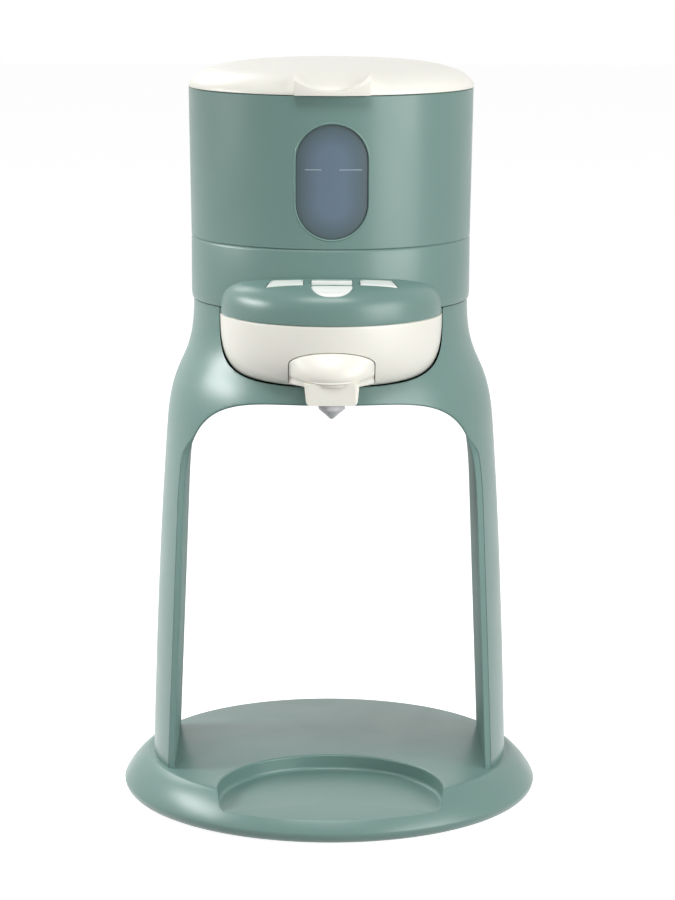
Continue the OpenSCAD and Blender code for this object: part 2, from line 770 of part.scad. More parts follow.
module key_stem(p) translate([p[0], p[1], switch_z + key_travel + lift_gap])
    cylinder(r = button_r, h = key_foot_z + 1 - switch_z - key_travel - lift_gap, $fn = 32);

module side_key() {
    intersection() {
        head_solid(key_proud);
        translate([0, 0, key_foot_z]) linear_extrude(cover_h) side_key_plan();
    }
    key_stem(key_centres[2]);
}

module key_left() color(silver) mirror([1, 0, 0]) side_key();

module key_right() color(silver) side_key();

module key_centre() color(silver) {
    translate([0, 0, key_foot_z]) linear_extrude(head_crown - 1.5 - key_foot_z) centre_key_plan();
    key_stem(key_centres[1]);
}

module indicator_lens() color(silver) intersection() {
    difference() {
        head_solid(lens_proud);
        head_solid(-head_wall - 0.6);
    }
    translate([0, 0, seam_z + 4]) linear_extrude(cover_h) lens_plan();
}

// Head shells
module head_cover() color(sage) difference() {
    on_head() turned(concat(
        shifted(quarter(head_r, cover_h, cover_pow), 0, seam_z),
        reversed(shifted(quarter(head_r - head_wall, cover_h - head_wall, cover_pow), 0, seam_z))));
    translate([0, 0, stand_top - lift_gap]) cylinder(r = housing_r + lift_gap, h = 2 * cover_h);
    translate([-past / 2, head_back, seam_z - 1]) cube(past);
    translate([0, 0, seam_z + 5]) linear_extrude(cover_h) {
        side_key_plan(key_gap);
        mirror([1, 0]) side_key_plan(key_gap);
        centre_key_plan(key_gap);
        lens_plan(seam);
    }
}

module head_bowl() color(cream) difference() {
    union() {
        on_head() turned(concat(
            shifted(quarter(head_r, bowl_h, bowl_pow), 0, seam_z, -1),
            reversed(shifted(quarter(head_r - head_wall, bowl_h - head_wall, bowl_pow), 0, seam_z, -1))));
        intersection() {
            on_head() turned(concat(
                [[0, seam_z]], shifted(quarter(head_r, bowl_h, bowl_pow), 0, seam_z, -1)));
            along_y(-past, pocket_y + head_wall) polygon(block_outline(block_gap + 2));
        }
        for (p = post_places) translate([p[0], p[1], head_floor - 0.5])
            cylinder(d = post_d, h = control_board_z - head_floor + 0.5, $fn = 32);
        for (p = head_screw_places) translate([p[0], p[1], head_floor - 0.5])
            cylinder(r = head_boss_r, h = head_boss_h + 0.5, $fn = 48);
    }
    along_y(-past, pocket_y) polygon(block_outline(block_gap));
    translate([-block_w / 2, spout_y + spout_depth / 2 + block_gap - past, block_z - 6])
        cube([block_w, past, 7]);
    translate([0, pocket_y, water_z]) rod_y(spigot_r + seam, -1, head_wall + 1);
    translate([-past / 2, head_back, seam_z - past / 2]) cube(past);
    for (p = head_screw_places) translate([p[0], p[1], head_floor - 2 * head_wall])
        cylinder(r = 1.7, h = 4 * head_wall, $fn = 32);
}

// Nozzle block and its tip
module thumb_lip() {
    reach = pocket_y - head_front + lip_out;
    translate([0, pocket_y, block_z]) turned([
        [0, 0], [reach - 0.6, 0], [reach, 0.6], [reach, 2.2], [reach - 0.5, 3.6],
        [reach - lip_out, block_h + 1], [0, block_h + 1]]);
}

module spout() intersection() {
    along_y(spout_y - spout_depth, spout_y + spout_depth) {
        corner_x = spout_w / 2 - spout_taper - spout_corner;
        corner_z = block_z - spout_h + spout_corner;
        polygon(concat(
            [[spout_w / 2, block_z + 2], [-spout_w / 2, block_z + 2]],
            [for (i = [0:6]) let (t = 180 + 15 * i)
                [-corner_x + spout_corner * cos(t), corner_z + spout_corner * sin(t)]],
            [for (i = [0:6]) let (t = 270 + 15 * i)
                [corner_x + spout_corner * cos(t), corner_z + spout_corner * sin(t)]]));
    }
    translate([0, spout_y, block_z - 2 * spout_h]) union() {
        for (s = [-1, 1]) translate([s * (spout_w - spout_depth) / 2, 0, 0])
            cylinder(d = spout_depth, h = 3 * spout_h);
        translate([-(spout_w - spout_depth) / 2, -spout_depth / 2, 0])
            cube([spout_w - spout_depth, spout_depth, 3 * spout_h]);
    }
}

module nozzle_block() color(cream) difference() {
    union() {
        intersection() {
            along_y(-past, pocket_y - block_gap) polygon(block_outline());
            union() {
                head_solid();
                thumb_lip();
            }
        }
        spout();
    }
    translate([0, 0, water_z]) rod_y(spigot_r + lift_gap, spout_y, pocket_y + 1);
    translate([0, spout_y, block_z - 2 * spout_h])
        cylinder(d = bore_d, h = 2 * spout_h + water_z - block_z);
    translate([0, spout_y, block_z - spout_h - 1]) cylinder(d = tip_d - 3, h = tip_plug_h + 1.2);
}

module nozzle_tip() color(steel) translate([0, spout_y, block_z - spout_h]) difference() {
    union() {
        turned([
            [0, -tip_h], [1.6, -tip_h + 0.6], [tip_d / 2 - 1.2, -tip_collar - 0.5],
            [tip_d / 2 - 0.9, -tip_collar], [tip_d / 2, -tip_collar + 0.3], [tip_d / 2, 0], [0, 0]]);
        cylinder(d = tip_d - 3.2, h = tip_plug_h);
    }
    translate([0, 0, -tip_h - 1]) cylinder(r = 0.9, h = tip_h + 3);
    cylinder(d = bore_d, h = 2 * tip_plug_h);
}

// Stand
module frame_shell() color(sage) difference() {
    union() {
        turned(concat(stand_outline(), reversed(stand_outline(wall))));
        foot_flares();
        intersection() {
            ring(leg_r - 1, arch_half, base_h, base_h + foot_block_h);
            translate([-past / 2, -foot_block_half, 0])
                cube([past, 2 * foot_block_half, base_h + foot_block_h]);
        }
    }
    arch_solid(liner_t + seam);
    head_solid(side_gap, cradle_gap);
    translate([0, 0, base_h - 1]) at_corners(leg_screw_x, leg_screw_y)
        cylinder(r = leg_screw_r + seam / 2, h = foot_block_h, $fn = 32);
    translate([0, 0, gland_z]) rod_y(gland_r + seam, ring_r - 4 * wall, ring_r + wall);
    translate([0, 0, gland_z]) rod_y(gland_flange + seam, gland_face, ring_r + wall);
}

// Plan that bounds the flares: a circle cut off in front and behind, with rounded corners
module foot_plan(toe_r) {
    cy = foot_half - foot_corner;
    cx = sqrt(pow(toe_r - foot_corner, 2) - pow(cy, 2));
    intersection() {
        circle(toe_r);
        square([3 * toe_r, 2 * cy * toe_r / (toe_r - foot_corner)], center = true);
    }
    square([2 * cx, 2 * foot_half], center = true);
    for (sx = [-1, 1], sy = [-1, 1]) translate([sx * cx, sy * cy]) circle(foot_corner);
}

// Concave flare round the outside of each foot, over the base's rim
module foot_flares() {
    toe_r = leg_r + foot_flare;
    toe_t = asin(pow(max(toe_r - rim_in, 0.01) / rim_w, rim_pow[0] / 2));
    under = [for (i = [1:4]) rim_point(toe_t * i / 4) + [0, seam]];
    toe = under[3] + [0, flare_lip];
    top = [leg_r, toe[1] + flare_h];
    intersection() {
        turned(concat(
            [[leg_r - wall, base_h], [rim_in, base_h]], under,
            bezier(toe, toe + foot_flare * [-0.42, 0.36], top - [0, 0.6 * flare_h], top, 8),
            [[leg_r - wall, top[1]]]));
        linear_extrude(base_h + 2 * flare_h) foot_plan(toe_r + seam);
    }
}

module frame_liner() color(sage) {
    intersection() {
        turned(concat([[0, base_h]], stand_outline(), [[0, stand_top]]));
        difference() {
            arch_solid(liner_t);
            arch_solid(0, base_d + 1);
        }
    }
    for (p = head_screw_places) translate([p[0], p[1], deck_z - 1]) difference() {
        cylinder(r = head_boss_r, h = head_floor - head_wall - deck_z + 1, $fn = 48);
        translate([0, 0, 1]) cylinder(d = head_screw_d + seam, h = bowl_h, $fn = 32);
    }
}

module cord_gland() color(rubber) translate([0, 0, gland_z]) difference() {
    union() {
        rod_y(gland_r, gland_rear - gland_flange_t, gland_face + gland_flange_t);
        rod_y(gland_flange, gland_face, gland_face + gland_flange_t);
        rod_y(gland_flange, gland_rear - gland_flange_t, gland_rear - 4 * seam);
    }
    rod_y(cord_bore, gland_rear - gland_flange_t - 1, gland_face + gland_flange_t + 1);
}

// Base
bottom_r = base_r - rim_tuck;
cover_r = bottom_r - wall;
bottom_t = 2.4;
base_screw_r = base_r - 31;
base_screw_angles = [35, 145, 215, 325];
base_screw_d = 2.5;
base_screw_head_r = 3;
base_screw_sink = 1.2;
base_boss_r = 3.5;
pad_r = base_r - 21;
pad_angles = [45, 135, 225, 315];
floor_z = base_h - recess_depth;
recess_fillet = 2;
recess_lip = 1;

module base_top() color(sage) difference() {
    union() {
        difference() {
            turned(base_outline());
            turned(base_hollow());
        }
        intersection() {
            turned(base_outline());
            translate([0, -recess_reach, floor_z - wall]) cylinder(d = recess_d + 2 * wall, h = 2 * base_h);
        }
        at_angles(base_screw_r, base_screw_angles)
            translate([0, 0, pad_lift + bottom_t])
                cylinder(r = base_boss_r, h = base_h - pad_lift - bottom_t - 1);
    }
    translate([0, -recess_reach, 0]) turned(recess_outline());
    at_angles(base_screw_r, base_screw_angles) cylinder(d = base_screw_d + seam, h = base_h - 4, $fn = 32);
    at_corners(leg_screw_x, leg_screw_y) cylinder(r = leg_screw_r + 0.35, h = base_h + 5, $fn = 32);
}

function base_outline() = concat(
    [[0, pad_lift]],
    [[bottom_r, pad_lift]],
    [for (i = [1:8]) let (t = 90 * i / 8)
        [bottom_r + rim_tuck * sin(t), rim_z - (rim_z - pad_lift) * cos(t)]],
    reversed([for (i = [0:15]) rim_point(90 * i / 16)]),
    [[0, base_h]]);

function base_hollow() = concat(
    [[0, pad_lift - 1], [cover_r, pad_lift - 1]],
    [[cover_r, rim_z - 1]],
    reversed(rim_curve(wall)),
    [[0, base_h - wall]]);

// Cutter for the bottle recess, rounded at its floor and at its upper edge
function recess_outline() = let (r = recess_d / 2) concat(
    [[0, floor_z]],
    [for (i = [0:4]) let (t = 22.5 * i)
        [r - recess_fillet + recess_fillet * sin(t), floor_z + recess_fillet - recess_fillet * cos(t)]],
    [for (i = [0:4]) let (t = 22.5 * i)
        [r + recess_lip - recess_lip * cos(t), base_h - recess_lip + recess_lip * sin(t)]],
    [[r + recess_lip, 2 * base_h], [0, 2 * base_h]]);

module base_bottom() color(sage) difference() {
    translate([0, 0, pad_lift]) cylinder(r = cover_r - lift_gap, h = bottom_t);
    at_angles(pad_r, pad_angles) translate([0, 0, pad_lift - 1]) cylinder(d = pad_d + 2 * seam, h = 2);
    at_angles(base_screw_r, base_screw_angles) {
        cylinder(r = 1.7, h = 10, $fn = 32);
        translate([0, 0, pad_lift - 1])
            cylinder(r = base_screw_head_r + lift_gap, h = base_screw_sink + 1, $fn = 32);
    }
}

module base_feet() color(rubber) at_angles(pad_r, pad_angles) cylinder(d = pad_d, h = pad_lift + 1);

// Fasteners
module pan_screw(shank_r, length, head_r, head_h) {
    cylinder(r = shank_r, h = length, $fn = 32);
    difference() {
        translate([0, 0, -head_h]) cylinder(r = head_r, h = head_h, $fn = 48);
        for (a = [0, 90]) rotate(a) translate([-head_r * 0.6, -0.4, -head_h - 0.1])
            cube([head_r * 1.2, 0.8, 1]);
    }
}

module leg_screws() color(steel) at_corners(leg_screw_x, leg_screw_y)
    translate([0, 0, base_h - wall])
        pan_screw(leg_screw_r, wall + foot_block_h - 2, leg_head_r, leg_head_h);

module base_screws() color(steel) at_angles(base_screw_r, base_screw_angles)
    translate([0, 0, pad_lift + base_screw_sink])
        pan_screw(base_screw_d / 2, base_h - 9, base_screw_head_r, base_screw_sink - seam);

module head_screws() color(steel) for (p = head_screw_places)
    translate([p[0], p[1], head_floor + head_boss_h]) mirror([0, 0, 1])
        pan_screw(head_screw_d / 2, head_screw_l + head_boss_h, head_screw_head_r, 2);

lid();
lid_liner();
lid_seal();
tank_shell();
tank_window();
tank_filter();
valve_body();
valve_plunger();
valve_spring();
valve_seal();
housing_shell();
tank_seat();
chassis();
heater();
thermostat();
temp_sensor();
pump_motor();
pump_head();
hose_inlet();
hose_pump();
hose_outlet();
outlet_spigot();
spigot_seal();
power_board();
control_board();
key_left();
key_centre();
key_right();
indicator_lens();
head_cover();
head_bowl();
nozzle_block();
nozzle_tip();
frame_shell();
frame_liner();
cord_gland();
base_top();
base_bottom();
base_feet();
leg_screws();
base_screws();
head_screws();
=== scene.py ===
"""Formula water warmer: the shells and finishes of every visible piece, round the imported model."""
import json
import math

import bmesh
import bpy
import numpy as np
from mathutils import Matrix, Vector

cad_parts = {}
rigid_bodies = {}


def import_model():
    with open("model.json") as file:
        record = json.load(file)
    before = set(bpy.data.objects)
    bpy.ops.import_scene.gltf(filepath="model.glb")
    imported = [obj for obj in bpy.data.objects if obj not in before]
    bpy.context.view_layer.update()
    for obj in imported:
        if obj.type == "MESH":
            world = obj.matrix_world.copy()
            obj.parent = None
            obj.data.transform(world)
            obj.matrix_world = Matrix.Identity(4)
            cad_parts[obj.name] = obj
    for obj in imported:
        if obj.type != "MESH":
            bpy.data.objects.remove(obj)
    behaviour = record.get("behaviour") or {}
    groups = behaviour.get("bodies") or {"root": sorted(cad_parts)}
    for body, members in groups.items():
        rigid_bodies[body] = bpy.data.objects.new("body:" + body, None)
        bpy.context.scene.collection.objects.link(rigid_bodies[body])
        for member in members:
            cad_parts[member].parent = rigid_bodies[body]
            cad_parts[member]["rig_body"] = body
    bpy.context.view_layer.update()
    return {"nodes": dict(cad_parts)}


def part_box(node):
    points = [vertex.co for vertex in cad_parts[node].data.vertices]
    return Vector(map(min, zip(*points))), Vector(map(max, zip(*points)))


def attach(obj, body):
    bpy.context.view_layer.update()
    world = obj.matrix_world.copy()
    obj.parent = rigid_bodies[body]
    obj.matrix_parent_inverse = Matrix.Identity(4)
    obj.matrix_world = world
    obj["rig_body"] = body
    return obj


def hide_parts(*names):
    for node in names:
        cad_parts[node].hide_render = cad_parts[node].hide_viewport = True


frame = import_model()

MM = 0.001
X, Y, Z = 0, 1, 2

# Faces round a turned piece, and the radius below which a point lies on its axis
TURNS = 288
AXIS_GAP = 1e-4

# The camera stands where the photograph's did, in millimetres and radians
CAMERA_AT = (-11.653, -1486.52, 452.117)
CAMERA_PITCH = 0.186089
CAMERA_ROLL = 0.003207
CAMERA_YAW = 0.0103
CAMERA_LENS = 122
SENSOR = 36

# Softboxes: place, height of the point faced, width and height in metres, spread in degrees, watts
LIGHTS = (
    ("left_softbox", (-0.605, -0.02, 0.43), 0.1, 0.4, 0.14, 70, 0.58),
    ("rear_softbox", (-0.7, 1.0, 1.1), 0.2, 0.8, 0.5, 180, 5.5),
    ("right_softbox", (1.28, -0.94, 0.55), 0.2, 1.15, 0.94, 180, 18.5),
    ("front_softbox", (-0.1, -0.8, 1.6), 0.2, 1.0, 0.5, 180, 14),
)

# World: its light on surfaces, and its brightness for the camera and in reflections
WORLD_LIGHT, WORLD_SEEN = 0.08, 1.0

# Floor: half its width in metres, its shade of grey, and its glow for the camera and in reflections
FLOOR_HALF, FLOOR_GREY, FLOOR_GLOW = 6.0, 0.5, 0.94


def low(node, axis):
    """Lowest place of a CAD node along an axis, in millimetres."""
    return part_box(node)[0][axis] / MM


def high(node, axis):
    """Highest place of a CAD node along an axis, in millimetres."""
    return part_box(node)[1][axis] / MM


# Sizes in millimetres, taken from the frame
BASE_R = high("base_top", X)
BASE_H = high("base_top", Z)
BASE_LOW = low("base_top", Z)
STAND_TOP = high("frame_shell", Z)
HOUSING_R = high("housing_shell", X)
HOUSING_TOP = high("housing_shell", Z)
LID_Z = low("lid", Z)
LID_TOP = high("lid", Z)
LID_R = high("lid", X)
TAB_R = -low("lid", Y)
SEAM_Z = high("head_bowl", Z)
HEAD_R = high("head_cover", X)
HEAD_REACH = -low("head_cover", Y) - HEAD_R
BOWL_H = SEAM_Z - low("head_bowl", Z)
SPOUT_Z = low("nozzle_block", Z) + 1.1
TIP_Z = low("nozzle_tip", Z)

# Sizes in millimetres that the frame's boxes don't give, first those of the walls and the base
WALL = 2.8
RIM_W, RIM_Z, RIM_TUCK = 12.5, 6.4, 6.0
RECESS_R, RECESS_DEPTH, RECESS_REACH = 54.5, 7.8, 70.0
RECESS_CORNER, RECESS_LIP = 2.0, 1.0

# Stand: its radii and slopes, the arch, and the gaps beside and under the head
LEG_R, SHOULDER_R, RING_R = 88.15, 80.2, 66.95
LEG_Z, LEG_SLOPE = BASE_H + 4, 0.030
ARCH_Z = STAND_TOP - 41.7
SHOULDER_Z, SHOULDER_SLOPE, SHOULDER_BEND = ARCH_Z - 18.3, 0.076, 0.562
ARCH_HALF, ARCH_LEAN, ARCH_RISE = 76.5, 0.041, 67.6
SIDE_GAP, CRADLE_GAP = 0.35, 0.5

# Liner of the arch: thickness on the legs and at the crown, chamfer, where it thins, gap to the shell
LINER_T, LINER_CROWN, LINER_CHAMFER = 3.0, 0.5, 3.2
LINER_CORNER_Z, LINER_CORNER_H = ARCH_Z - 17, 14.0
LINER_GAP = 0.1

# Housing: sleeve inside the stand, and groove over the joint with it
SLEEVE_GAP, SLEEVE_T, SLEEVE_DEPTH = 0.25, 3.8, 5
GROOVE_DEEP, GROOVE_H = 2.6, 0.5

# Tank, its window and the fill line
TANK_Z, TANK_FLARE, TANK_WALL = HOUSING_TOP + 0.3, 1.1, 2.4
NEST_DEPTH, NEST_GAP, SOCKET_R = 6.8, 0.6, 9.3
SEAM_GAP, LID_GAP = 0.06, 0.3
WINDOW_HALF, WINDOW_H, WINDOW_Z, WINDOW_SINK = 17.2, 54.3, 4.2, 0.8
WINDOW_MIDDLE = TANK_Z + WINDOW_Z + WINDOW_H / 2
FILL_Z, FILL_T, FILL_PROUD, FILL_STEPS = 317.3, 0.45, 0.08, 8
FILL_MARKS = (("fill_mark_left", -12.6, -5.0), ("fill_mark_right", 3.4, 14.0))

# Lid: its wall, and the finger lip with the scoop in its top
LID_WALL = 2.2
TAB_W, TAB_RISE, SCOOP_R, SCOOP_TILT = 35.4, 1.75, 34.0, 8.0

# Y ranges that hold the front of the lid and of the tank, and where cuts and walls of the head start
LID_FRONT, TANK_FRONT, CUT_Y, WALL_Y = (-90, -50), (-90, -40), -100, -95

# Head: dome, wall, gap to the housing, and half of the notch between cover and bowl
COVER_H, HEAD_WALL, HEAD_GAP = 21.3, 2.5, 0.3
HEAD_CROWN = SEAM_Z + COVER_H
NOTCH_H, NOTCH_DEEP = 0.28, 0.8

# Keys and lens
KEY_REAR_R = HOUSING_R + 3
KEY_FRONT_R = KEY_REAR_R + 5.6
CENTRE_KEY_HALF, CENTRE_KEY_SINK = 9.5, 1.5
SIDE_KEY_IN = CENTRE_KEY_HALF + 3.8
SIDE_KEY_W = 16.4
KEY_H, KEY_EDGE, KEY_GAP, KEY_PROUD = 6.0, 0.5, 0.3, 0.35
LENS_DEPTH, LENS_SIDE, LENS_SPACE, LENS_ROUND = 7.8, 0.4, 0.5, 0.8
LENS_T, LENS_EDGE, LENS_GAP, LENS_PROUD = 3.0, 0.9, 0.1, 0.25

# Nozzle block: thumb pad with its lip, spout and tip
BLOCK_HALF, BLOCK_H, BLOCK_CROWN = 20.1, 15.9, 6.3
BLOCK_Z = SEAM_Z - 28.4
BLOCK_GAP, POCKET_Y, POCKET_WALL = 0.28, -72.0, 2.0
PAD_T, PAD_EDGE, PAD_STEP = 12.0, 0.7, 0.8
LIP_H, LIP_OUT, LIP_TUCK, LIP_TUCK_H = 2.1, 4.6, 0.9, 0.6
LIP_R = HEAD_REACH + HEAD_R + LIP_OUT + POCKET_Y
SPOUT_HALF, SPOUT_T, SPOUT_ROUND, SPOUT_DRAFT, SPOUT_Y = 12.9, 13.4, 2.4, 0.8, -85.0
COLLAR_R, CONE_R, CONE_TOP = 6.2, 4.6, SPOUT_Z - 3.7

# Exponents of the rounded outlines, radial first and upright second
RIM_POW = (1.38, 1.18)
COVER_POW = (3.5, 3.5)
BOWL_POW = (9.6, 2.8)
CRADLE_POW = (9.6, 4.0)
LID_POW = (4.1, 1.92)
ARCH_POW = (4.6, 3.8)


# Outlines

def quarter(a, b, power, steps=48):
    """One quarter of a rounded outline, from the wide side up to the axis."""
    t = np.linspace(0, math.pi / 2, steps + 1)
    wide, tall = np.clip(np.cos(t), 0, 1), np.clip(np.sin(t), 0, 1)
    return np.column_stack([a * wide ** (2 / power[0]), b * tall ** (2 / power[1])])


def bezier(a, b, c, d, steps):
    t = np.linspace(0, 1, steps + 1)[:, None]
    s = 1 - t
    a, b, c, d = (np.array(p, float) for p in (a, b, c, d))
    return s ** 3 * a + 3 * s * s * t * b + 3 * s * t * t * c + t ** 3 * d


def arc(centre, r, start, stop, steps):
    """Arc about centre, from start to stop in degrees."""
    t = np.radians(np.linspace(start, stop, steps + 1))
    return np.column_stack([centre[0] + r * np.cos(t), centre[1] + r * np.sin(t)])


def circle(centre, r, steps):
    """Circle about centre, whose last point isn't the first again."""
    return arc(centre, r, 0, 360, steps)[:-1]


def rectangle(left, right, start, stop):
    """Rectangle between two places on the first axis and two on the second."""
    return np.array([[left, start], [right, start], [right, stop], [left, stop]])


def joined(*parts):
    """The parts as one outline, without points that repeat."""
    points = np.vstack([np.atleast_2d(p) for p in parts])
    keep = [True] + [np.linalg.norm(points[i] - points[i - 1]) > 1e-3 for i in range(1, len(points))]
    return points[np.array(keep)]


def divided(outline, steps_for):
    """The closed outline with equal steps along its sides, as many as steps_for gives for a length."""
    points = []
    for here, there in zip(outline, np.roll(outline, -1, axis=0)):
        steps = steps_for(np.linalg.norm(there - here))
        points += [here + (there - here) * k / steps for k in range(steps)]
    return np.array(points)


def stand_outline(inset=0.0):
    """Outer outline of the stand from its foot to its top."""
    leg_low = np.array([LEG_R - inset, LEG_Z])
    leg_top = np.array([SHOULDER_R - inset, SHOULDER_Z])
    ring = np.array([RING_R - inset, STAND_TOP])
    up_leg, up_shoulder = np.array([-LEG_SLOPE, 1]), np.array([-SHOULDER_SLOPE, 1])
    third = (SHOULDER_Z - LEG_Z) / 3
    bend = SHOULDER_BEND * (STAND_TOP - SHOULDER_Z)
    return joined(
        [[LEG_R - inset, BASE_H]],
        bezier(leg_low, leg_low + third * up_leg, leg_top - third * up_shoulder, leg_top, 40),
        bezier(leg_top, leg_top + bend * up_shoulder, ring - [0, bend], ring, 40))


def stand_radius(z):
    outline = stand_outline()
    return np.interp(z, outline[:, 1], outline[:, 0])


def arch_outline(grow=0.0, foot=BASE_H, leg_steps=40, steps=72):
    """Right half outline of the arch, from its foot up to its crown."""
    spring = ARCH_Z - ARCH_RISE
    t = np.linspace(0, math.pi / 2, steps + 1)
    z = spring + (ARCH_RISE + grow) * np.clip(np.sin(t), 0, 1) ** (2 / ARCH_POW[1])
    z = np.concatenate([np.linspace(foot, spring, leg_steps, endpoint=False), z])
    t = np.concatenate([np.zeros(leg_steps), t])
    x = (ARCH_HALF + grow - ARCH_LEAN * (z - BASE_H)) * np.clip(np.cos(t), 0, 1) ** (2 / ARCH_POW[0])
    return np.column_stack([x, z])


def liner_outline(grow=0.0, foot=BASE_H):
    """Outline where the liner meets the shell: wide on the legs, close to the arch above them."""
    wide, close = (arch_outline(size + grow, foot) for size in (LINER_T, LINER_CROWN))
    share = np.clip((LINER_CORNER_Z - wide[:, 1]) / LINER_CORNER_H, 0, 1)
    share = (share * share * (3 - 2 * share))[:, None]
    return close + share * (wide - close)


def whole(half):
    """A right half outline with its mirror image."""
    left = half[::-1] * [-1, 1]
    return joined(half, left[np.abs(left[:, 0]) > 1e-3])


def block_outline(grow=0.0, steps=36):
    """Front outline of the nozzle block's thumb pad."""
    half, low_z, high_z = BLOCK_HALF + grow, BLOCK_Z - grow, BLOCK_Z + BLOCK_H + grow
    t = np.linspace(0, math.pi, 2 * steps + 1)
    crown = np.column_stack([half * np.cos(t), high_z - BLOCK_CROWN + BLOCK_CROWN * np.sin(t)])
    return joined([[-half, low_z], [half, low_z]], crown)


def pill_outline(grow=0.0, steps=32):
    """Outline of the window, about its own middle."""
    r, straight = WINDOW_HALF + grow, WINDOW_H / 2 - WINDOW_HALF
    return joined(arc((0, straight), r, 0, 180, steps), arc((0, -straight), r, 180, 360, steps))


def key_arc(r, left, right, steps=24):
    """Points on an arc round the stand's axis, in front of it, between two distances from the middle."""
    a = np.linspace(math.asin(left / r), math.asin(right / r), steps + 1)
    return np.column_stack([r * np.sin(a), -r * np.cos(a)])


def side_key_outline(grow=0.0):
    rear, front = KEY_REAR_R - grow, KEY_FRONT_R + grow
    end = math.asin((SIDE_KEY_IN + SIDE_KEY_W) / ((KEY_REAR_R + KEY_FRONT_R) / 2)) + grow / KEY_REAR_R
    inner = SIDE_KEY_IN - grow
    return joined(key_arc(rear, inner, rear * math.sin(end)), key_arc(front, front * math.sin(end), inner))


def centre_key_outline(grow=0.0):
    half = CENTRE_KEY_HALF + grow
    return joined(key_arc(KEY_REAR_R - grow, -half, half), key_arc(KEY_FRONT_R + grow, half, -half))


def lens_outline(grow=0.0, steps=48):
    """Plan of the crescent lens in front of the middle key."""
    half, deep = CENTRE_KEY_HALF + LENS_SIDE + grow, LENS_DEPTH + grow
    t = np.linspace(math.pi, 2 * math.pi, steps + 1)
    x = half * np.sign(np.cos(t)) * np.abs(np.cos(t)) ** LENS_ROUND
    return joined(np.column_stack([x, -KEY_FRONT_R - LENS_SPACE + deep * np.sin(t)]))


def rim_outline(drop=0.0, steps=40):
    """Outline of the base's rim, from the flat top to the widest line."""
    t = np.linspace(0, math.pi / 2, steps + 1)
    r = BASE_R - RIM_W + (RIM_W - drop) * np.clip(np.sin(t), 0, 1) ** (2 / RIM_POW[0])
    z = RIM_Z + (BASE_H - drop - RIM_Z) * np.clip(np.cos(t), 0, 1) ** (2 / RIM_POW[1])
    return np.column_stack([r, z])


# Meshes

def new_mesh(name, verts, faces):
    mesh = bpy.data.meshes.new(name)
    mesh.from_pydata((np.asarray(verts, float) * MM).tolist(), [], faces)
    bm = bmesh.new()
    bm.from_mesh(mesh)
    bmesh.ops.recalc_face_normals(bm, faces=bm.faces)
    bm.to_mesh(mesh)
    bm.free()
    return mesh


def shown(name, mesh):
    piece = bpy.data.objects.new(name, mesh)
    bpy.context.scene.collection.objects.link(piece)
    return piece


def turned(name, outline, middle=(0.0, 0.0), turns=TURNS):
    """Closed outline of (radius, height) points, turned round an upright axis."""
    verts, rows = [], []
    angles = np.linspace(0, 2 * math.pi, turns, endpoint=False)
    for r, z in outline:
        if r < AXIS_GAP:
            rows.append([len(verts)])
            verts.append((middle[0], middle[1], z))
        else:
            rows.append(list(range(len(verts), len(verts) + turns)))
            verts += [(middle[0] + r * math.cos(a), middle[1] + r * math.sin(a), z) for a in angles]
    faces = []
    for here, there in zip(rows, rows[1:] + rows[:1]):
        if len(here) == 1 and len(there) == 1:
            continue
        for i in range(turns):
            j = (i + 1) % turns
            if len(here) == 1:
                faces.append((here[0], there[j], there[i]))
            elif len(there) == 1:
                faces.append((here[i], here[j], there[0]))
            else:
                faces.append((here[i], here[j], there[j], there[i]))
    return shown(name, new_mesh(name, verts, faces))


def prism(name, outline, start, stop, along):
    """Outline drawn out along Y, where it is (x, z), or along Z, where it is (x, y)."""
    n = len(outline)
    if along == Y:
        verts = [(u, start, v) for u, v in outline] + [(u, stop, v) for u, v in outline]
    else:
        verts = [(u, v, start) for u, v in outline] + [(u, v, stop) for u, v in outline]
    faces = [tuple(range(n)), tuple(range(2 * n - 1, n - 1, -1))]
    faces += [(i, (i + 1) % n, n + (i + 1) % n, n + i) for i in range(n)]
    return shown(name, new_mesh(name, verts, faces))


def applied(piece):
    """Turns the piece's modifiers into its mesh."""
    graph = bpy.context.evaluated_depsgraph_get()
    mesh = bpy.data.meshes.new_from_object(piece.evaluated_get(graph))
    piece.modifiers.clear()
    piece.data = mesh
    return piece


def combined(piece, operation, *others):
    for other in others:
        step = piece.modifiers.new("combine", "BOOLEAN")
        step.operation = operation
        step.solver = "EXACT"
        step.object = other
        applied(piece)
        bpy.data.objects.remove(other)
    return piece


def cut(piece, *others):
    return combined(piece, "DIFFERENCE", *others)


def kept(piece, *others):
    return combined(piece, "INTERSECT", *others)


def fused(piece, *others):
    return combined(piece, "UNION", *others)


def eased(piece, width=0.0, angle=35, weld=0.12, segments=3):
    """Rounds the piece's sharp edges and smooths the faces between them."""
    tidy = piece.modifiers.new("weld", "WELD")
    tidy.merge_threshold = weld * MM
    if width:
        bevel = piece.modifiers.new("bevel", "BEVEL")
        bevel.width = width * MM
        bevel.segments = segments
        bevel.limit_method = "ANGLE"
        bevel.angle_limit = math.radians(angle)
    applied(piece)
    piece.data.shade_smooth()
    piece.data.set_sharp_from_angle(angle=math.radians(angle))
    return piece


def true_round(piece, radius_at, near=0.03, steep=0.3):
    """Gives a turned wall the normals of the true round, which the long faces beside a cut would lose."""
    mesh = piece.data
    places = np.array([v.co for v in mesh.vertices]) / MM
    r = np.hypot(places[:, 0], places[:, 1])
    on_wall = np.abs(r - radius_at(places[:, 2])) < near
    normals = [tuple(corner.vector) for corner in mesh.corner_normals]
    for face in mesh.polygons:
        if all(on_wall[v] for v in face.vertices) and abs(face.normal.z) < steep:
            for corner in face.loop_indices:
                v = mesh.loops[corner].vertex_index
                normals[corner] = (places[v, 0] / r[v], places[v, 1] / r[v], 0)
    mesh.normals_split_custom_set(normals)


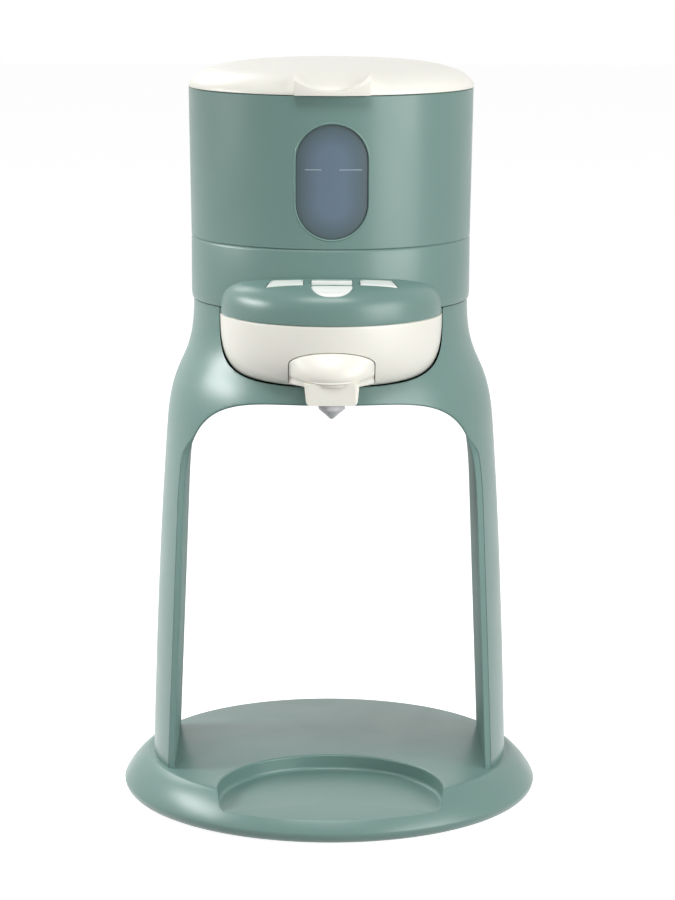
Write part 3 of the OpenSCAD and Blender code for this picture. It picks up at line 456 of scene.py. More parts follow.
def joined_in(piece, other):
    """Adds the other's closed mesh to the piece's own."""
    with bpy.context.temp_override(active_object=piece, selected_editable_objects=[piece, other]):
        bpy.ops.object.join()
    return piece


def border_distance(points, outline):
    """Distance of each point to the closed outline."""
    start, stop = outline, np.roll(outline, -1, axis=0)
    side = stop - start
    t = np.einsum("ijk,jk->ij", points[:, None] - start, side) / (side ** 2).sum(1)
    near = start + np.clip(t, 0, 1)[..., None] * side
    return np.linalg.norm(points[:, None] - near, axis=2).min(1)


def plate(name, outline, place, edge, thick, edge_rings=7, rings=14):
    """Piece that fills a star-shaped outline: place(u, v, out) puts a point on the surface it follows,
    its border is rounded by edge, and its back lies thick behind its front."""
    middle = outline.mean(0)
    reach = np.linalg.norm(outline - middle, axis=1).min()
    first = min(1.3 * edge / reach, 0.6)
    shares = np.concatenate([np.linspace(0, first, edge_rings), np.linspace(first, 0.98, rings)[1:]])
    n = len(outline)
    plan = np.vstack([middle + (1 - s) * (outline - middle) for s in shares] + [middle[None]])
    gap = np.clip(edge - border_distance(plan, outline), 0, edge)
    out = np.sqrt(np.maximum(edge ** 2 - gap ** 2, 0)) - edge
    front = place(plan[:, 0], plan[:, 1], out)
    back = place(outline[:, 0], outline[:, 1], np.full(n, -thick))
    far = place(middle[:1], middle[1:], np.full(1, -thick))
    verts = np.vstack([front, back, far])
    centre, wall = len(plan) - 1, len(plan)
    last = (len(shares) - 1) * n
    faces = [(k + i, k + (i + 1) % n, k + n + (i + 1) % n, k + n + i)
             for k in range(0, last, n) for i in range(n)]
    for i in range(n):
        j = (i + 1) % n
        faces += [(last + i, last + j, centre), (i, wall + i, wall + j, j), (wall + j, wall + i, wall + n)]
    piece = shown(name, new_mesh(name, verts, faces))
    piece.data.shade_smooth()
    piece.data.set_sharp_from_angle(angle=math.radians(50))
    return piece


def bead(name, outline, place, r, out, turns=12):
    """Round bead along a closed outline, its middle lying out from the surface that place follows."""
    ahead = np.roll(outline, -1, axis=0) - np.roll(outline, 1, axis=0)
    side = np.column_stack([ahead[:, 1], -ahead[:, 0]]) / np.linalg.norm(ahead, axis=1)[:, None]
    rings = []
    for t in np.linspace(0, 2 * math.pi, turns, endpoint=False):
        plan = outline + r * math.cos(t) * side
        rings.append(place(plan[:, 0], plan[:, 1], np.full(len(plan), out + r * math.sin(t))))
    n = len(outline)
    faces = [(k * n + i, k * n + (i + 1) % n, (k + 1) % turns * n + (i + 1) % n, (k + 1) % turns * n + i)
             for k in range(turns) for i in range(n)]
    ring = shown(name, new_mesh(name, np.vstack(rings), faces))
    ring.data.shade_smooth()
    return ring


def head_height(x, y):
    """Height of the head's green dome at a point of its plan."""
    share = np.clip(np.hypot(x, y + HEAD_REACH) / HEAD_R, 0, 1)
    cosine = share ** (COVER_POW[0] / 2)
    return SEAM_Z + COVER_H * np.clip(1 - cosine ** 2, 0, 1) ** (1 / COVER_POW[1])


def bowl_front(x, z):
    """Y of the bowl's front at a point of its elevation."""
    down = np.clip((SEAM_Z - z) / BOWL_H, 0, 1)
    sine = down ** (BOWL_POW[1] / 2)
    r = HEAD_R * np.clip(1 - sine ** 2, 0, 1) ** (1 / BOWL_POW[0])
    return -HEAD_REACH - np.sqrt(np.clip(r ** 2 - np.square(x), 0, None))


# Materials

def linear(red, green, blue):
    """Scene colour of a colour written in 0 to 255."""
    def one(c):
        c = c / 255
        return c / 12.92 if c <= 0.04045 else ((c + 0.055) / 1.055) ** 2.4
    return (one(red), one(green), one(blue), 1.0)


def shaded(colour, factor):
    return tuple(min(c * factor, 1.0) for c in colour[:3]) + (1.0,)


class Surface:
    """One procedural material, built up node by node."""

    def __init__(self, name, colour, roughness, metallic=0.0):
        self.material = bpy.data.materials.new(name)
        self.material.use_nodes = True
        self.nodes = self.material.node_tree.nodes
        self.links = self.material.node_tree.links
        self.shader = self.nodes["Principled BSDF"]
        self.colour = colour
        self.roughness = roughness
        self.shader.inputs["Base Color"].default_value = colour
        self.shader.inputs["Roughness"].default_value = roughness
        self.shader.inputs["Metallic"].default_value = metallic
        self.place = self.nodes.new("ShaderNodeTexCoord").outputs["Object"]
        self.height = None

    def setting(self, name, value):
        self.shader.inputs[name].default_value = value
        return self

    def noise(self, size, detail=3.0, stretch=None):
        """Noise with features of about this size in millimetres."""
        place = self.place
        if stretch:
            scaling = self.nodes.new("ShaderNodeMapping")
            scaling.inputs["Scale"].default_value = stretch
            self.links.new(place, scaling.inputs["Vector"])
            place = scaling.outputs["Vector"]
        node = self.nodes.new("ShaderNodeTexNoise")
        node.inputs["Scale"].default_value = 1 / (size * MM)
        node.inputs["Detail"].default_value = detail
        self.links.new(place, node.inputs["Vector"])
        return node.outputs["Fac"]

    def between(self, value, low_out, high_out, low_in=0.3, high_in=0.7):
        node = self.nodes.new("ShaderNodeMapRange")
        node.inputs["From Min"].default_value = low_in
        node.inputs["From Max"].default_value = high_in
        node.inputs["To Min"].default_value = low_out
        node.inputs["To Max"].default_value = high_out
        self.links.new(value, node.inputs["Value"])
        return node.outputs["Result"]

    def mottled(self, size=60, amount=0.03, stretch=None):
        """Slow drift of the colour round its mean."""
        mix = self.nodes.new("ShaderNodeMix")
        mix.data_type = "RGBA"
        mix.inputs["A"].default_value = shaded(self.colour, 1 - amount)
        mix.inputs["B"].default_value = shaded(self.colour, 1 + amount)
        self.links.new(self.noise(size, 2.0, stretch), mix.inputs["Factor"])
        self.links.new(mix.outputs["Result"], self.shader.inputs["Base Color"])
        return self

    def worn(self, size=18, amount=0.05):
        """Roughness that drifts with handling."""
        rough = self.between(self.noise(size), self.roughness - amount, self.roughness + amount)
        self.links.new(rough, self.shader.inputs["Roughness"])
        return self

    def grained(self, size, depth, stretch=None, detail=3.0):
        """Fine relief of this size and depth in millimetres."""
        bump = self.nodes.new("ShaderNodeBump")
        bump.inputs["Strength"].default_value = 1.0
        bump.inputs["Distance"].default_value = depth * MM
        self.links.new(self.noise(size, detail, stretch), bump.inputs["Height"])
        if self.height:
            self.links.new(self.height, bump.inputs["Normal"])
        self.height = bump.outputs["Normal"]
        self.links.new(self.height, self.shader.inputs["Normal"])
        return self


def sage_plastic(name="sage_plastic", roughness=0.32):
    return (Surface(name, linear(106, 137, 130), roughness).mottled(70, 0.02).worn(22, 0.03)
            .grained(0.9, 0.004).grained(24, 0.012).material)


def cream_plastic():
    return (Surface("cream_plastic", linear(240, 238, 228), 0.34).mottled(60, 0.012).worn(20, 0.04)
            .grained(0.9, 0.003).grained(16, 0.02)
            .setting("Subsurface Weight", 0.06).setting("Subsurface Scale", 0.004).material)


def key_plastic():
    return (Surface("key_plastic", linear(226, 230, 226), 0.24).mottled(20, 0.015).worn(8, 0.03)
            .grained(0.5, 0.002).material)


def lens_plastic():
    return (Surface("lens_plastic", linear(232, 236, 232), 0.16).mottled(16, 0.01).worn(8, 0.03)
            .grained(1.2, 0.003).setting("Coat Weight", 0.5).setting("Coat Roughness", 0.05).material)


def smoke_plastic():
    """Tinted window, with painted shade that makes it greener and darker towards its border."""
    surface = Surface("smoke_plastic", linear(90, 110, 128), 0.3)
    nodes, links = surface.nodes, surface.links
    parts = nodes.new("ShaderNodeSeparateXYZ")
    links.new(surface.place, parts.inputs["Vector"])
    across, height = parts.outputs["X"], parts.outputs["Z"]

    def worked(operation, first, second=None):
        node = nodes.new("ShaderNodeMath")
        node.operation = operation
        for socket, value in zip(node.inputs, (first, second)):
            if isinstance(value, float):
                socket.default_value = value
            elif value is not None:
                links.new(value, socket)
        return node.outputs["Value"]
    rise = worked("ABSOLUTE", worked("SUBTRACT", height, WINDOW_MIDDLE * MM))
    over = worked("MAXIMUM", worked("SUBTRACT", rise, (WINDOW_H / 2 - WINDOW_HALF) * MM), 0.0)
    squares = worked("ADD", worked("MULTIPLY", over, over), worked("MULTIPLY", across, across))
    away = worked("SQRT", squares)
    # Painted shade: the pane's colour mixes towards dark green from near its middle out to its border
    mix = nodes.new("ShaderNodeMix")
    mix.data_type = "RGBA"
    mix.inputs["A"].default_value = surface.colour
    mix.inputs["B"].default_value = linear(52, 74, 74)
    inner, outer = 0.35 * WINDOW_HALF * MM, 1.1 * WINDOW_HALF * MM
    links.new(surface.between(away, 0.0, 1.0, inner, outer), mix.inputs["Factor"])
    links.new(mix.outputs["Result"], surface.shader.inputs["Base Color"])
    return (surface.worn(12, 0.02).grained(1.2, 0.003)
            .setting("Coat Weight", 0.4).setting("Coat Roughness", 0.12).material)


def mark_plastic():
    return Surface("mark_plastic", linear(150, 165, 175), 0.4).mottled(4, 0.05).grained(0.5, 0.002).material


def nozzle_plastic():
    return (Surface("nozzle_plastic", linear(204, 203, 207), 0.4).mottled(8, 0.03).worn(6, 0.05)
            .grained(0.7, 0.004).material)


def inner_plastic():
    return (Surface("inner_plastic", linear(206, 208, 204), 0.45).mottled(30, 0.03)
            .grained(0.8, 0.008).material)


def silicone():
    return (Surface("silicone", linear(222, 224, 226), 0.5).mottled(12, 0.03).grained(1.0, 0.01)
            .setting("Subsurface Weight", 0.2).setting("Subsurface Scale", 0.002).material)


def rubber():
    return Surface("rubber", linear(44, 46, 46), 0.68).mottled(10, 0.08).grained(0.6, 0.02).material


def steel():
    return (Surface("steel", linear(186, 189, 193), 0.36, 1.0).mottled(9, 0.05)
            .grained(0.8, 0.006, (1, 1, 14)).worn(5, 0.06).material)


def pump_plastic():
    return Surface("pump_plastic", linear(52, 55, 58), 0.5).mottled(10, 0.06).grained(0.8, 0.01).material


def circuit_board():
    return Surface("circuit_board", linear(28, 92, 62), 0.35).mottled(3, 0.25).grained(1.5, 0.02).material


# Pieces

def dressed(piece, material, slot, *nodes):
    """Gives the piece its finish, and puts it in the place of CAD nodes of one body."""
    piece.data.materials.clear()
    piece.data.materials.append(material)
    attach(piece, frame["nodes"][nodes[0]]["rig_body"])
    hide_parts(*nodes)
    return piece


def lid_dome(name, inset, foot):
    top = quarter(LID_R - inset, LID_TOP - LID_Z - inset, LID_POW, 56) + [0, LID_Z]
    return turned(name, joined([[0, foot], [LID_R - inset, foot]], top))


def make_lid(material):
    """Domed lid with a finger lip, whose top is scooped out by a tilted cylinder."""
    tab = turned("tab", rectangle(0, TAB_R, LID_Z, LID_TOP))
    kept(tab, prism("side", rectangle(-TAB_W / 2, TAB_W / 2, *LID_FRONT), LID_Z - 1, LID_TOP + 1, Z))
    scoop = prism("scoop", circle((0, SCOOP_R), SCOOP_R, 180), -20, LID_R, Y)
    tilt = Matrix.Rotation(math.radians(SCOOP_TILT), 4, "X")
    scoop.data.transform(Matrix.Translation((0, -TAB_R * MM, (LID_Z + TAB_RISE) * MM)) @ tilt)
    cut(tab, scoop)
    lid = fused(lid_dome("lid_shell", 0, LID_Z), tab)
    cut(lid, lid_dome("inside", LID_WALL, LID_Z - 5))
    eased(lid, 0.45, 40, 0.1)
    return dressed(lid, material, "cream", "lid")


def tank_radius(z):
    """Outer radius of the tank at a height."""
    return HOUSING_R + TANK_FLARE * (z - TANK_Z) / (LID_Z - TANK_Z)


def on_tank(x, z, out):
    r = tank_radius(z) + out
    return np.column_stack([x, -np.sqrt(r ** 2 - x ** 2), z])


def make_tank(material):
    """Tank with a foot that nests in the housing, a socket for its valve and a window slot with a bead."""
    nest_r, nest_z = HOUSING_R - WALL - NEST_GAP, TANK_Z - NEST_DEPTH
    foot_r, foot_z, chamfer = tank_radius(TANK_Z), HOUSING_TOP + SEAM_GAP, 0.25
    brim_z, brim_edge = LID_Z - LID_GAP, 0.4
    brim_r = tank_radius(brim_z)
    nest = [[0, nest_z], [nest_r - 1, nest_z], [nest_r, nest_z + 1], [nest_r, foot_z]]
    foot = [[foot_r - chamfer, foot_z], [foot_r, HOUSING_TOP + chamfer]]
    brim = [[brim_r - 0.01, brim_z - brim_edge], [brim_r - brim_edge, brim_z], [brim_r - TANK_WALL, brim_z]]
    inside = [[foot_r - TANK_WALL, TANK_Z + 2.6], [nest_r - TANK_WALL, TANK_Z + TANK_WALL],
              [nest_r - TANK_WALL, nest_z + TANK_WALL], [0, nest_z + TANK_WALL]]
    tank = turned("tank_body", joined(nest, foot, brim, inside))
    cut(tank, prism("window_cut", pill_outline() + [0, WINDOW_MIDDLE], *TANK_FRONT, Y))
    cut(tank, prism("socket_cut", circle((0, 0), SOCKET_R, 96), nest_z - 2, nest_z + 8, Z))
    eased(tank, 0.15, 40, 0.06, 2)
    true_round(tank, tank_radius)
    joined_in(tank, bead("bead", pill_outline(0.3) + [0, WINDOW_MIDDLE], on_tank, 0.55, -0.3))
    return dressed(tank, material, "sage", "tank_shell")


def on_pane(x, z, out):
    return on_tank(x, z, out - WINDOW_SINK)


def on_mark(x, z, out):
    return on_pane(x, z, out + FILL_PROUD)


def make_window(material, mark):
    """Window pane, and a plain fill line in two strokes that stands just proud of it."""
    pane = pill_outline(-0.1) + [0, WINDOW_MIDDLE]
    window = dressed(plate("window_pane", pane, on_pane, 0.4, TANK_WALL), material, "window", "tank_window")
    for name, start, stop in FILL_MARKS:
        bar = divided(rectangle(start, stop, FILL_Z, FILL_Z + FILL_T), lambda length: FILL_STEPS)
        line = plate(name, bar, on_mark, 0.05, 0.3, 2, 2)
        line.data.materials.append(mark)
        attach(line, frame["nodes"]["tank_window"]["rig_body"])
    return window


def make_housing(material):
    """Ring with a sleeve inside the stand, a groove over the joint with it and a chamfer under the tank."""
    r, inner_r, sleeve_r = HOUSING_R, HOUSING_R - WALL, RING_R - WALL - SLEEVE_GAP
    floor_z, sleeve_z, groove_z = STAND_TOP + 2.4, STAND_TOP - SLEEVE_DEPTH, STAND_TOP + GROOVE_H
    sleeve = [[inner_r, floor_z], [inner_r - SLEEVE_T, floor_z], [inner_r - SLEEVE_T, sleeve_z],
              [sleeve_r, sleeve_z], [sleeve_r, STAND_TOP]]
    groove = [[r - GROOVE_DEEP, STAND_TOP], [r - GROOVE_DEEP, groove_z], [r - 0.65, groove_z]]
    foot = bezier((r - 0.35, groove_z + 0.3), (r - 0.2, STAND_TOP + 1.8),
                  (r, STAND_TOP + 3.2), (r, STAND_TOP + 5), 6)
    chamfer = [[r, HOUSING_TOP - 1.5], [r - 0.06, HOUSING_TOP - 1.25],
               [r - 0.5, HOUSING_TOP - 0.15], [r - 0.65, HOUSING_TOP]]
    inside = [[inner_r, HOUSING_TOP], [inner_r, STAND_TOP + 22]]
    housing = turned("housing_ring", joined(sleeve, groove, foot, chamfer, inside))
    within = turned("within", rectangle(0, inner_r, STAND_TOP - 20, STAND_TOP + 40))
    cut(housing, kept(head_form("head", 0.5, 0.5), within))
    below = turned("below", rectangle(0, r + 5, STAND_TOP - 20, STAND_TOP))
    cut(housing, kept(head_form("head", HEAD_GAP, HEAD_GAP), below))
    eased(housing, 0.0, 30)
    return dressed(housing, material, "sage", "housing_shell")


def head_form(name, grow, below, power=BOWL_POW):
    """The whole head as one solid, grown by grow at its sides and top and by below underneath."""
    up = quarter(HEAD_R + grow, COVER_H + grow, COVER_POW) + [0, SEAM_Z]
    down = quarter(HEAD_R + grow, BOWL_H + below, power) * [1, -1] + [0, SEAM_Z]
    return turned(name, joined(up, down[::-1]), (0, -HEAD_REACH))


def head_back():
    """Plan of the head's rear part, inside the housing, which is left open."""
    return rectangle(-80, 80, -5, 75)


def shell_outline(r, h, power, flip):
    """Closed outline of a dome's wall, with half of the notch between cover and bowl at its rim."""
    notch = [[r - NOTCH_DEEP - 0.1, 0], [r - NOTCH_DEEP, 0.12]]
    outer = quarter(r, h, power, 60)
    inner = quarter(r - HEAD_WALL, h - HEAD_WALL, power, 60)
    outer[0, 1] = NOTCH_H
    return joined(notch, outer, inner[::-1]) * [1, flip] + [0, SEAM_Z]


def make_head_cover(material):
    """Green dome with pockets for the keys and the lens."""
    cover = turned("head_top", shell_outline(HEAD_R, COVER_H, COVER_POW, 1), (0, -HEAD_REACH))
    room = rectangle(0, HOUSING_R + HEAD_GAP, STAND_TOP - HEAD_GAP, STAND_TOP + 60)
    cut(cover, turned("housing_cut", room))
    cut(cover, prism("back_cut", head_back(), SEAM_Z - 1, SEAM_Z + 60, Z))
    right = side_key_outline(KEY_GAP)
    for outline in (right, right * [-1, 1], centre_key_outline(KEY_GAP), lens_outline(LENS_GAP)):
        cut(cover, prism("pocket", outline, SEAM_Z + 5, SEAM_Z + 45, Z))
    eased(cover, 0.3, 40, 0.08)
    return dressed(cover, material, "sage", "head_cover")


def make_head_bowl(material):
    """Bowl with the walls of the pocket that the nozzle block plugs into."""
    bowl = turned("head_base", shell_outline(HEAD_R, BOWL_H, BOWL_POW, -1), (0, -HEAD_REACH))
    form = quarter(HEAD_R - 0.5, BOWL_H - 0.5, BOWL_POW) * [1, -1] + [0, SEAM_Z]
    wall = prism("pocket_wall", block_outline(BLOCK_GAP + POCKET_WALL), WALL_Y, POCKET_Y + 2.5, Y)
    fused(bowl, kept(wall, turned("form", joined([[0, SEAM_Z]], form), (0, -HEAD_REACH))))
    cut(bowl, prism("pocket", block_outline(BLOCK_GAP), CUT_Y, POCKET_Y, Y))
    cut(bowl, prism("back_cut", head_back(), SEAM_Z - 60, SEAM_Z + 20, Z))
    spout_room = rectangle(-BLOCK_HALF, BLOCK_HALF, BLOCK_Z - 6, BLOCK_Z + 1)
    cut(bowl, prism("spout_cut", spout_room, CUT_Y, POCKET_Y - 6, Y))
    eased(bowl, 0.3, 40, 0.08)
    return dressed(bowl, material, "cream", "head_bowl")


def make_keys(material):
    """Side keys that follow the dome, and a flat middle key."""
    def on_dome(x, y, out):
        return np.column_stack([x, y, head_height(x, y) + KEY_PROUD + out])

    def on_flat(x, y, out):
        return np.column_stack([x, y, np.full(len(x), HEAD_CROWN - CENTRE_KEY_SINK) + out])

    right = side_key_outline()
    for name, outline, place in (("key_left", right * [-1, 1], on_dome), ("key_right", right, on_dome),
                                 ("key_centre", centre_key_outline(), on_flat)):
        key = plate(name + "_cap", outline, place, KEY_EDGE, KEY_H)
        dressed(key, material, "key", name)


def make_lens(material):
    """Crescent lens that follows the dome."""
    def place(x, y, out):
        return np.column_stack([x, y, head_height(x, y) + LENS_PROUD + out])
    lens = plate("indicator_window", lens_outline(), place, LENS_EDGE, LENS_T)
    return dressed(lens, material, "lens", "indicator_lens")


def make_nozzle_block(material):
    """Thumb pad and spout in one piece, whose flat faces stay flat in their shading."""
    block = fused(make_pad(), make_spout())
    eased(block, 0.0, 40, 0.05)
    block.modifiers.new("flat", "WEIGHTED_NORMAL").keep_sharp = True
    applied(block)
    block.name = "nozzle_carrier"
    return dressed(block, material, "cream", "nozzle_block")


def pad_front(x, z):
    """Y of the thumb pad's front: flush with the bowl at its top, it swells to a lip and tucks in below."""
    across = np.clip(np.abs(x) / BLOCK_HALF, 0, 1)
    top = BLOCK_Z + BLOCK_H - BLOCK_CROWN * (1 - np.sqrt(1 - across ** 2))
    lip_z = BLOCK_Z + LIP_H * (1 + across ** 2)
    bowl = bowl_front(x, np.maximum(z, BLOCK_Z + 3))
    lip = POCKET_Y - np.sqrt(np.clip(LIP_R ** 2 - np.square(x), 0, None))
    swell = np.maximum(bowl_front(x, lip_z) - lip, 0)
    up = np.clip((z - lip_z) / (top - lip_z), 0, 1)
    tuck = np.clip((lip_z - z) / LIP_TUCK_H, 0, 1)
    under = LIP_TUCK * tuck * (2 - tuck) + 0.2 * np.clip(lip_z - z, 0, None)
    return bowl - swell * (1 - up ** 1.5) + under


def make_pad():
    """Thumb pad, whose front is curved and whose back is flat."""
    def place(x, z, out):
        back = out < -PAD_T / 2
        return np.column_stack([x, np.where(back, POCKET_Y - BLOCK_GAP, pad_front(x, z) - out), z])
    outline = divided(block_outline(), lambda length: max(1, int(length / PAD_STEP)))
    return plate("pad", outline, place, PAD_EDGE, PAD_T, 8, 40)


def make_spout():
    """Spout that narrows downwards, with round upright and lower edges."""
    corner, low_half = SPOUT_ROUND, SPOUT_HALF - SPOUT_DRAFT - SPOUT_ROUND
    outline = joined([[SPOUT_HALF, BLOCK_Z + 2], [-SPOUT_HALF, BLOCK_Z + 2]],
                     arc((-low_half, SPOUT_Z + corner), corner, 180, 270, 8),
                     arc((low_half, SPOUT_Z + corner), corner, 270, 360, 8))
    spout = prism("spout", outline, SPOUT_Y - SPOUT_T / 2, SPOUT_Y + SPOUT_T / 2, Y)
    side, front = SPOUT_HALF - corner, SPOUT_T / 2 - corner
    corners = ((side, front), (-side, front), (-side, -front), (side, -front))
    plan = joined(*[arc((x, SPOUT_Y + y), corner, 90 * k, 90 * k + 90, 12)
                    for k, (x, y) in enumerate(corners)])
    kept(spout, prism("plan", plan, SPOUT_Z - 5, BLOCK_Z + 10, Z))
    return eased(spout, 0.5, 40, 0.05)


def make_nozzle_tip(material):
    """Grey tip: a collar, a short neck drawn in and a cone."""
    collar_top, collar_low = SPOUT_Z - 0.3, SPOUT_Z - 2.1
    outline = np.array([[0, TIP_Z], [0.7, TIP_Z + 0.1], [1.3, TIP_Z + 0.55], [CONE_R, CONE_TOP],
                        [CONE_R + 0.5, CONE_TOP + 0.4], [COLLAR_R - 0.1, collar_low - 0.3],
                        [COLLAR_R, collar_low], [COLLAR_R, collar_top],
                        [COLLAR_R - 0.3, collar_top + 0.5], [0, collar_top + 0.5]])
    tip = turned("nozzle_cone", outline, (0, SPOUT_Y), 96)
    eased(tip, 0.0, 30)
    return dressed(tip, material, "nozzle", "nozzle_tip")


def make_frame(material):
    """Stand's hollow shell, cut out for the arch and the head."""
    outer = joined(stand_outline(), stand_outline(WALL)[::-1])
    shell = turned("stand_shell", outer)
    cut(shell, prism("arch", whole(liner_outline(LINER_GAP, BASE_H - 1)), -120, 120, Y))
    cut(shell, head_form("head", SIDE_GAP, CRADLE_GAP, CRADLE_POW))
    eased(shell, 0.5, 35, 0.15)
    return dressed(shell, material, "sage", "frame_shell")


def make_liner(material):
    """Arch liner: a band whose front and rear edges are chamfered towards the opening."""
    inner, outer = whole(arch_outline()), whole(liner_outline())
    thin = np.linalg.norm(outer - inner, axis=1) / LINER_T
    # Share of the thickness, from the shell in, and how far the edge lies back there
    chamfer = [(1.0, 0.5), (0.98, 0.2), (0.9, 0.2)]
    chamfer += [(share, LINER_CHAMFER * (1 - share)) for share in np.linspace(0.8, 0.15, 4)]
    chamfer += [(0.04, LINER_CHAMFER), (0.0, LINER_CHAMFER + 0.5)]
    rows = []
    for side in (-1, 1):
        edge = []
        for share, back in chamfer:
            points = inner + share * (outer - inner)
            reach = np.sqrt(stand_radius(points[:, 1]) ** 2 - points[:, 0] ** 2) - back * thin
            edge.append(np.column_stack([points[:, 0], side * reach, points[:, 1]]))
        rows += edge if side < 0 else edge[::-1]
    n, turns = len(inner), len(rows)
    faces = [(k * n + i, k * n + i + 1, (k + 1) % turns * n + i + 1, (k + 1) % turns * n + i)
             for k in range(turns) for i in range(n - 1)]
    faces += [tuple(k * n for k in range(turns)), tuple(k * n + n - 1 for k in range(turns))[::-1]]
    liner = shown("stand_liner", new_mesh("stand_liner", np.vstack(rows), faces))
    liner.data.shade_smooth()
    liner.data.set_sharp_from_angle(angle=math.radians(30))
    return dressed(liner, material, "sage", "frame_liner")


def make_base(material):
    """Base with a rounded rim and a recess for the bottle, which runs out through the rim in front."""
    bottom_r = BASE_R - RIM_TUCK
    cover_r, floor_z = bottom_r - WALL, BASE_H - RECESS_DEPTH
    t = np.linspace(0, math.pi / 2, 17)[1:]
    tuck = np.column_stack([bottom_r + RIM_TUCK * np.sin(t), RIM_Z - (RIM_Z - BASE_LOW) * np.cos(t)])
    base = turned("base_body", joined(
        [[cover_r, BASE_LOW], [bottom_r, BASE_LOW]], tuck, rim_outline()[::-1], [[0, BASE_H]],
        [[0, BASE_H - WALL]], rim_outline(WALL), [[cover_r, RIM_Z - 1]]))
    solid = turned("solid", joined([[0, BASE_LOW + 3], [bottom_r - 1, BASE_LOW + 3]],
                                   rim_outline(1.0)[::-1], [[0, BASE_H - 1.0]]))
    place = (0, -RECESS_REACH)
    tub = turned("tub", rectangle(0, RECESS_R + WALL, floor_z - WALL, BASE_H), place)
    fused(base, kept(solid, tub))
    low_r, high_r = RECESS_R - RECESS_CORNER, RECESS_R + RECESS_LIP
    recess = joined([[0, floor_z]], arc((low_r, floor_z + RECESS_CORNER), RECESS_CORNER, -90, 0, 8),
                    arc((high_r, BASE_H - RECESS_LIP), RECESS_LIP, 180, 90, 8),
                    [[high_r, BASE_H + 10], [0, BASE_H + 10]])
    cut(base, turned("recess", recess, place, 240))
    eased(base, 0.5, 35, 0.12)
    return dressed(base, material, "sage", "base_top")


def dress_nodes(finishes):
    """Gives every CAD node that stays its own finish."""
    for material, names in finishes:
        for name in names:
            node = frame["nodes"][name]
            node.data.materials.clear()
            node.data.materials.append(material)


# Stage

def make_camera():
    data = bpy.data.cameras.new("camera")
    data.lens = CAMERA_LENS
    data.sensor_width = SENSOR
    data.clip_start, data.clip_end = 0.05, 20
    camera = bpy.data.objects.new("camera", data)
    bpy.context.scene.collection.objects.link(camera)
    ahead = Vector((math.sin(CAMERA_YAW) * math.cos(CAMERA_PITCH),
                    math.cos(CAMERA_YAW) * math.cos(CAMERA_PITCH), -math.sin(CAMERA_PITCH)))
    right = Vector((math.cos(CAMERA_YAW), -math.sin(CAMERA_YAW), 0))
    up = right.cross(ahead)
    c, s = math.cos(CAMERA_ROLL), math.sin(CAMERA_ROLL)
    turn = Matrix((c * right + s * up, -s * right + c * up, -ahead)).transposed().to_4x4()
    camera.matrix_world = Matrix.Translation(Vector(CAMERA_AT) * MM) @ turn
    bpy.context.scene.camera = camera


def make_lights():
    for name, place, aim, width, height, spread, power in LIGHTS:
        data = bpy.data.lights.new(name, "AREA")
        data.shape = "RECTANGLE"
        data.size, data.size_y = width, height
        data.spread = math.radians(spread)
        data.energy = power
        lamp = bpy.data.objects.new(name, data)
        bpy.context.scene.collection.objects.link(lamp)
        lamp.location = place
        lamp.rotation_euler = (Vector((0, 0, aim)) - Vector(place)).to_track_quat("-Z", "Y").to_euler()


def seen_directly(nodes, links):
    """1 for rays from the camera and for mirrored and clear ones, which carry no light to other surfaces."""
    path = nodes.new("ShaderNodeLightPath")
    value = path.outputs["Is Camera Ray"]
    for ray in ("Is Glossy Ray", "Is Transmission Ray"):
        largest = nodes.new("ShaderNodeMath")
        largest.operation = "MAXIMUM"
        links.new(value, largest.inputs[0])
        links.new(path.outputs[ray], largest.inputs[1])
        value = largest.outputs["Value"]
    return value


def make_world():
    """White surroundings, which light the object only a little."""
    world = bpy.data.worlds.new("studio")
    bpy.context.scene.world = world
    world.use_nodes = True
    nodes, links = world.node_tree.nodes, world.node_tree.links
    plain, white = nodes["Background"], nodes.new("ShaderNodeBackground")
    for node, strength in ((plain, WORLD_LIGHT), (white, WORLD_SEEN)):
        node.inputs["Color"].default_value = (1, 1, 1, 1)
        node.inputs["Strength"].default_value = strength
    mix = nodes.new("ShaderNodeMixShader")
    links.new(seen_directly(nodes, links), mix.inputs["Fac"])
    links.new(plain.outputs["Background"], mix.inputs[1])
    links.new(white.outputs["Background"], mix.inputs[2])
    links.new(mix.outputs["Shader"], nodes["World Output"].inputs["Surface"])


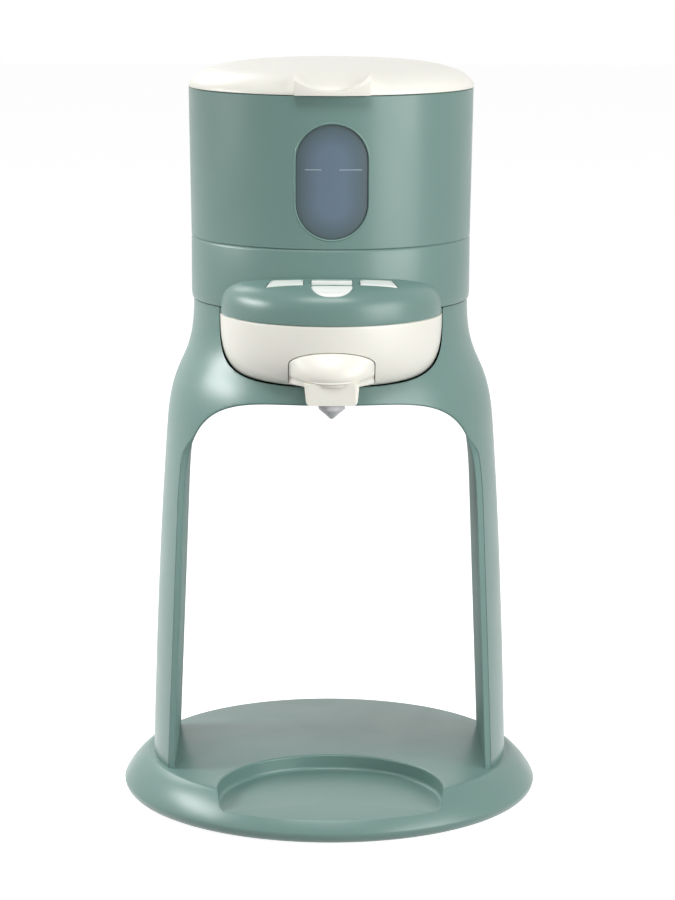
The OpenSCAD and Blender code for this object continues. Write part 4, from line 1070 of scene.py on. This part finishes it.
def make_floor():
    """Matt floor, which keeps the object's shadow and glows for the camera and for reflections alone."""
    mesh = bpy.data.meshes.new("floor")
    corners = rectangle(-FLOOR_HALF, FLOOR_HALF, -FLOOR_HALF, FLOOR_HALF)
    mesh.from_pydata([(x, y, 0) for x, y in corners.tolist()], [], [(0, 1, 2, 3)])
    floor = bpy.data.objects.new("floor", mesh)
    bpy.context.scene.collection.objects.link(floor)
    material = bpy.data.materials.new("floor_white")
    material.use_nodes = True
    nodes, links = material.node_tree.nodes, material.node_tree.links
    matt, glow = nodes.new("ShaderNodeBsdfDiffuse"), nodes.new("ShaderNodeEmission")
    matt.inputs["Color"].default_value = (FLOOR_GREY, FLOOR_GREY, FLOOR_GREY, 1)
    glow.inputs["Strength"].default_value = FLOOR_GLOW
    mix, add = nodes.new("ShaderNodeMixShader"), nodes.new("ShaderNodeAddShader")
    links.new(matt.outputs["BSDF"], add.inputs[0])
    links.new(glow.outputs["Emission"], add.inputs[1])
    links.new(seen_directly(nodes, links), mix.inputs["Fac"])
    links.new(matt.outputs["BSDF"], mix.inputs[1])
    links.new(add.outputs["Shader"], mix.inputs[2])
    links.new(mix.outputs["Shader"], nodes["Material Output"].inputs["Surface"])
    mesh.materials.append(material)


def main():
    make_camera()
    make_world()
    make_lights()
    make_floor()
    bpy.context.scene.view_settings.view_transform = "Standard"
    sage, cream = sage_plastic(), cream_plastic()
    make_base(sage)
    make_frame(sage)
    make_liner(sage_plastic("sage_matt", 0.62))
    make_housing(sage)
    make_tank(sage)
    make_window(smoke_plastic(), mark_plastic())
    make_lid(cream)
    make_head_cover(sage)
    make_head_bowl(cream)
    make_keys(key_plastic())
    make_lens(lens_plastic())
    make_nozzle_block(cream)
    make_nozzle_tip(nozzle_plastic())
    metal, soft, dark, pale = steel(), silicone(), rubber(), inner_plastic()
    dress_nodes([
        (sage, ["base_bottom"]),
        (cream, ["lid_liner"]),
        (soft, ["lid_seal", "tank_filter", "hose_inlet", "hose_pump", "hose_outlet"]),
        (pale, ["valve_body", "valve_plunger", "tank_seat", "chassis", "outlet_spigot"]),
        (metal, ["valve_spring", "heater", "temp_sensor", "pump_motor",
                 "leg_screws", "base_screws", "head_screws"]),
        (dark, ["valve_seal", "spigot_seal", "thermostat", "base_feet", "cord_gland"]),
        (pump_plastic(), ["pump_head"]),
        (circuit_board(), ["power_board", "control_board"]),
    ])


main()
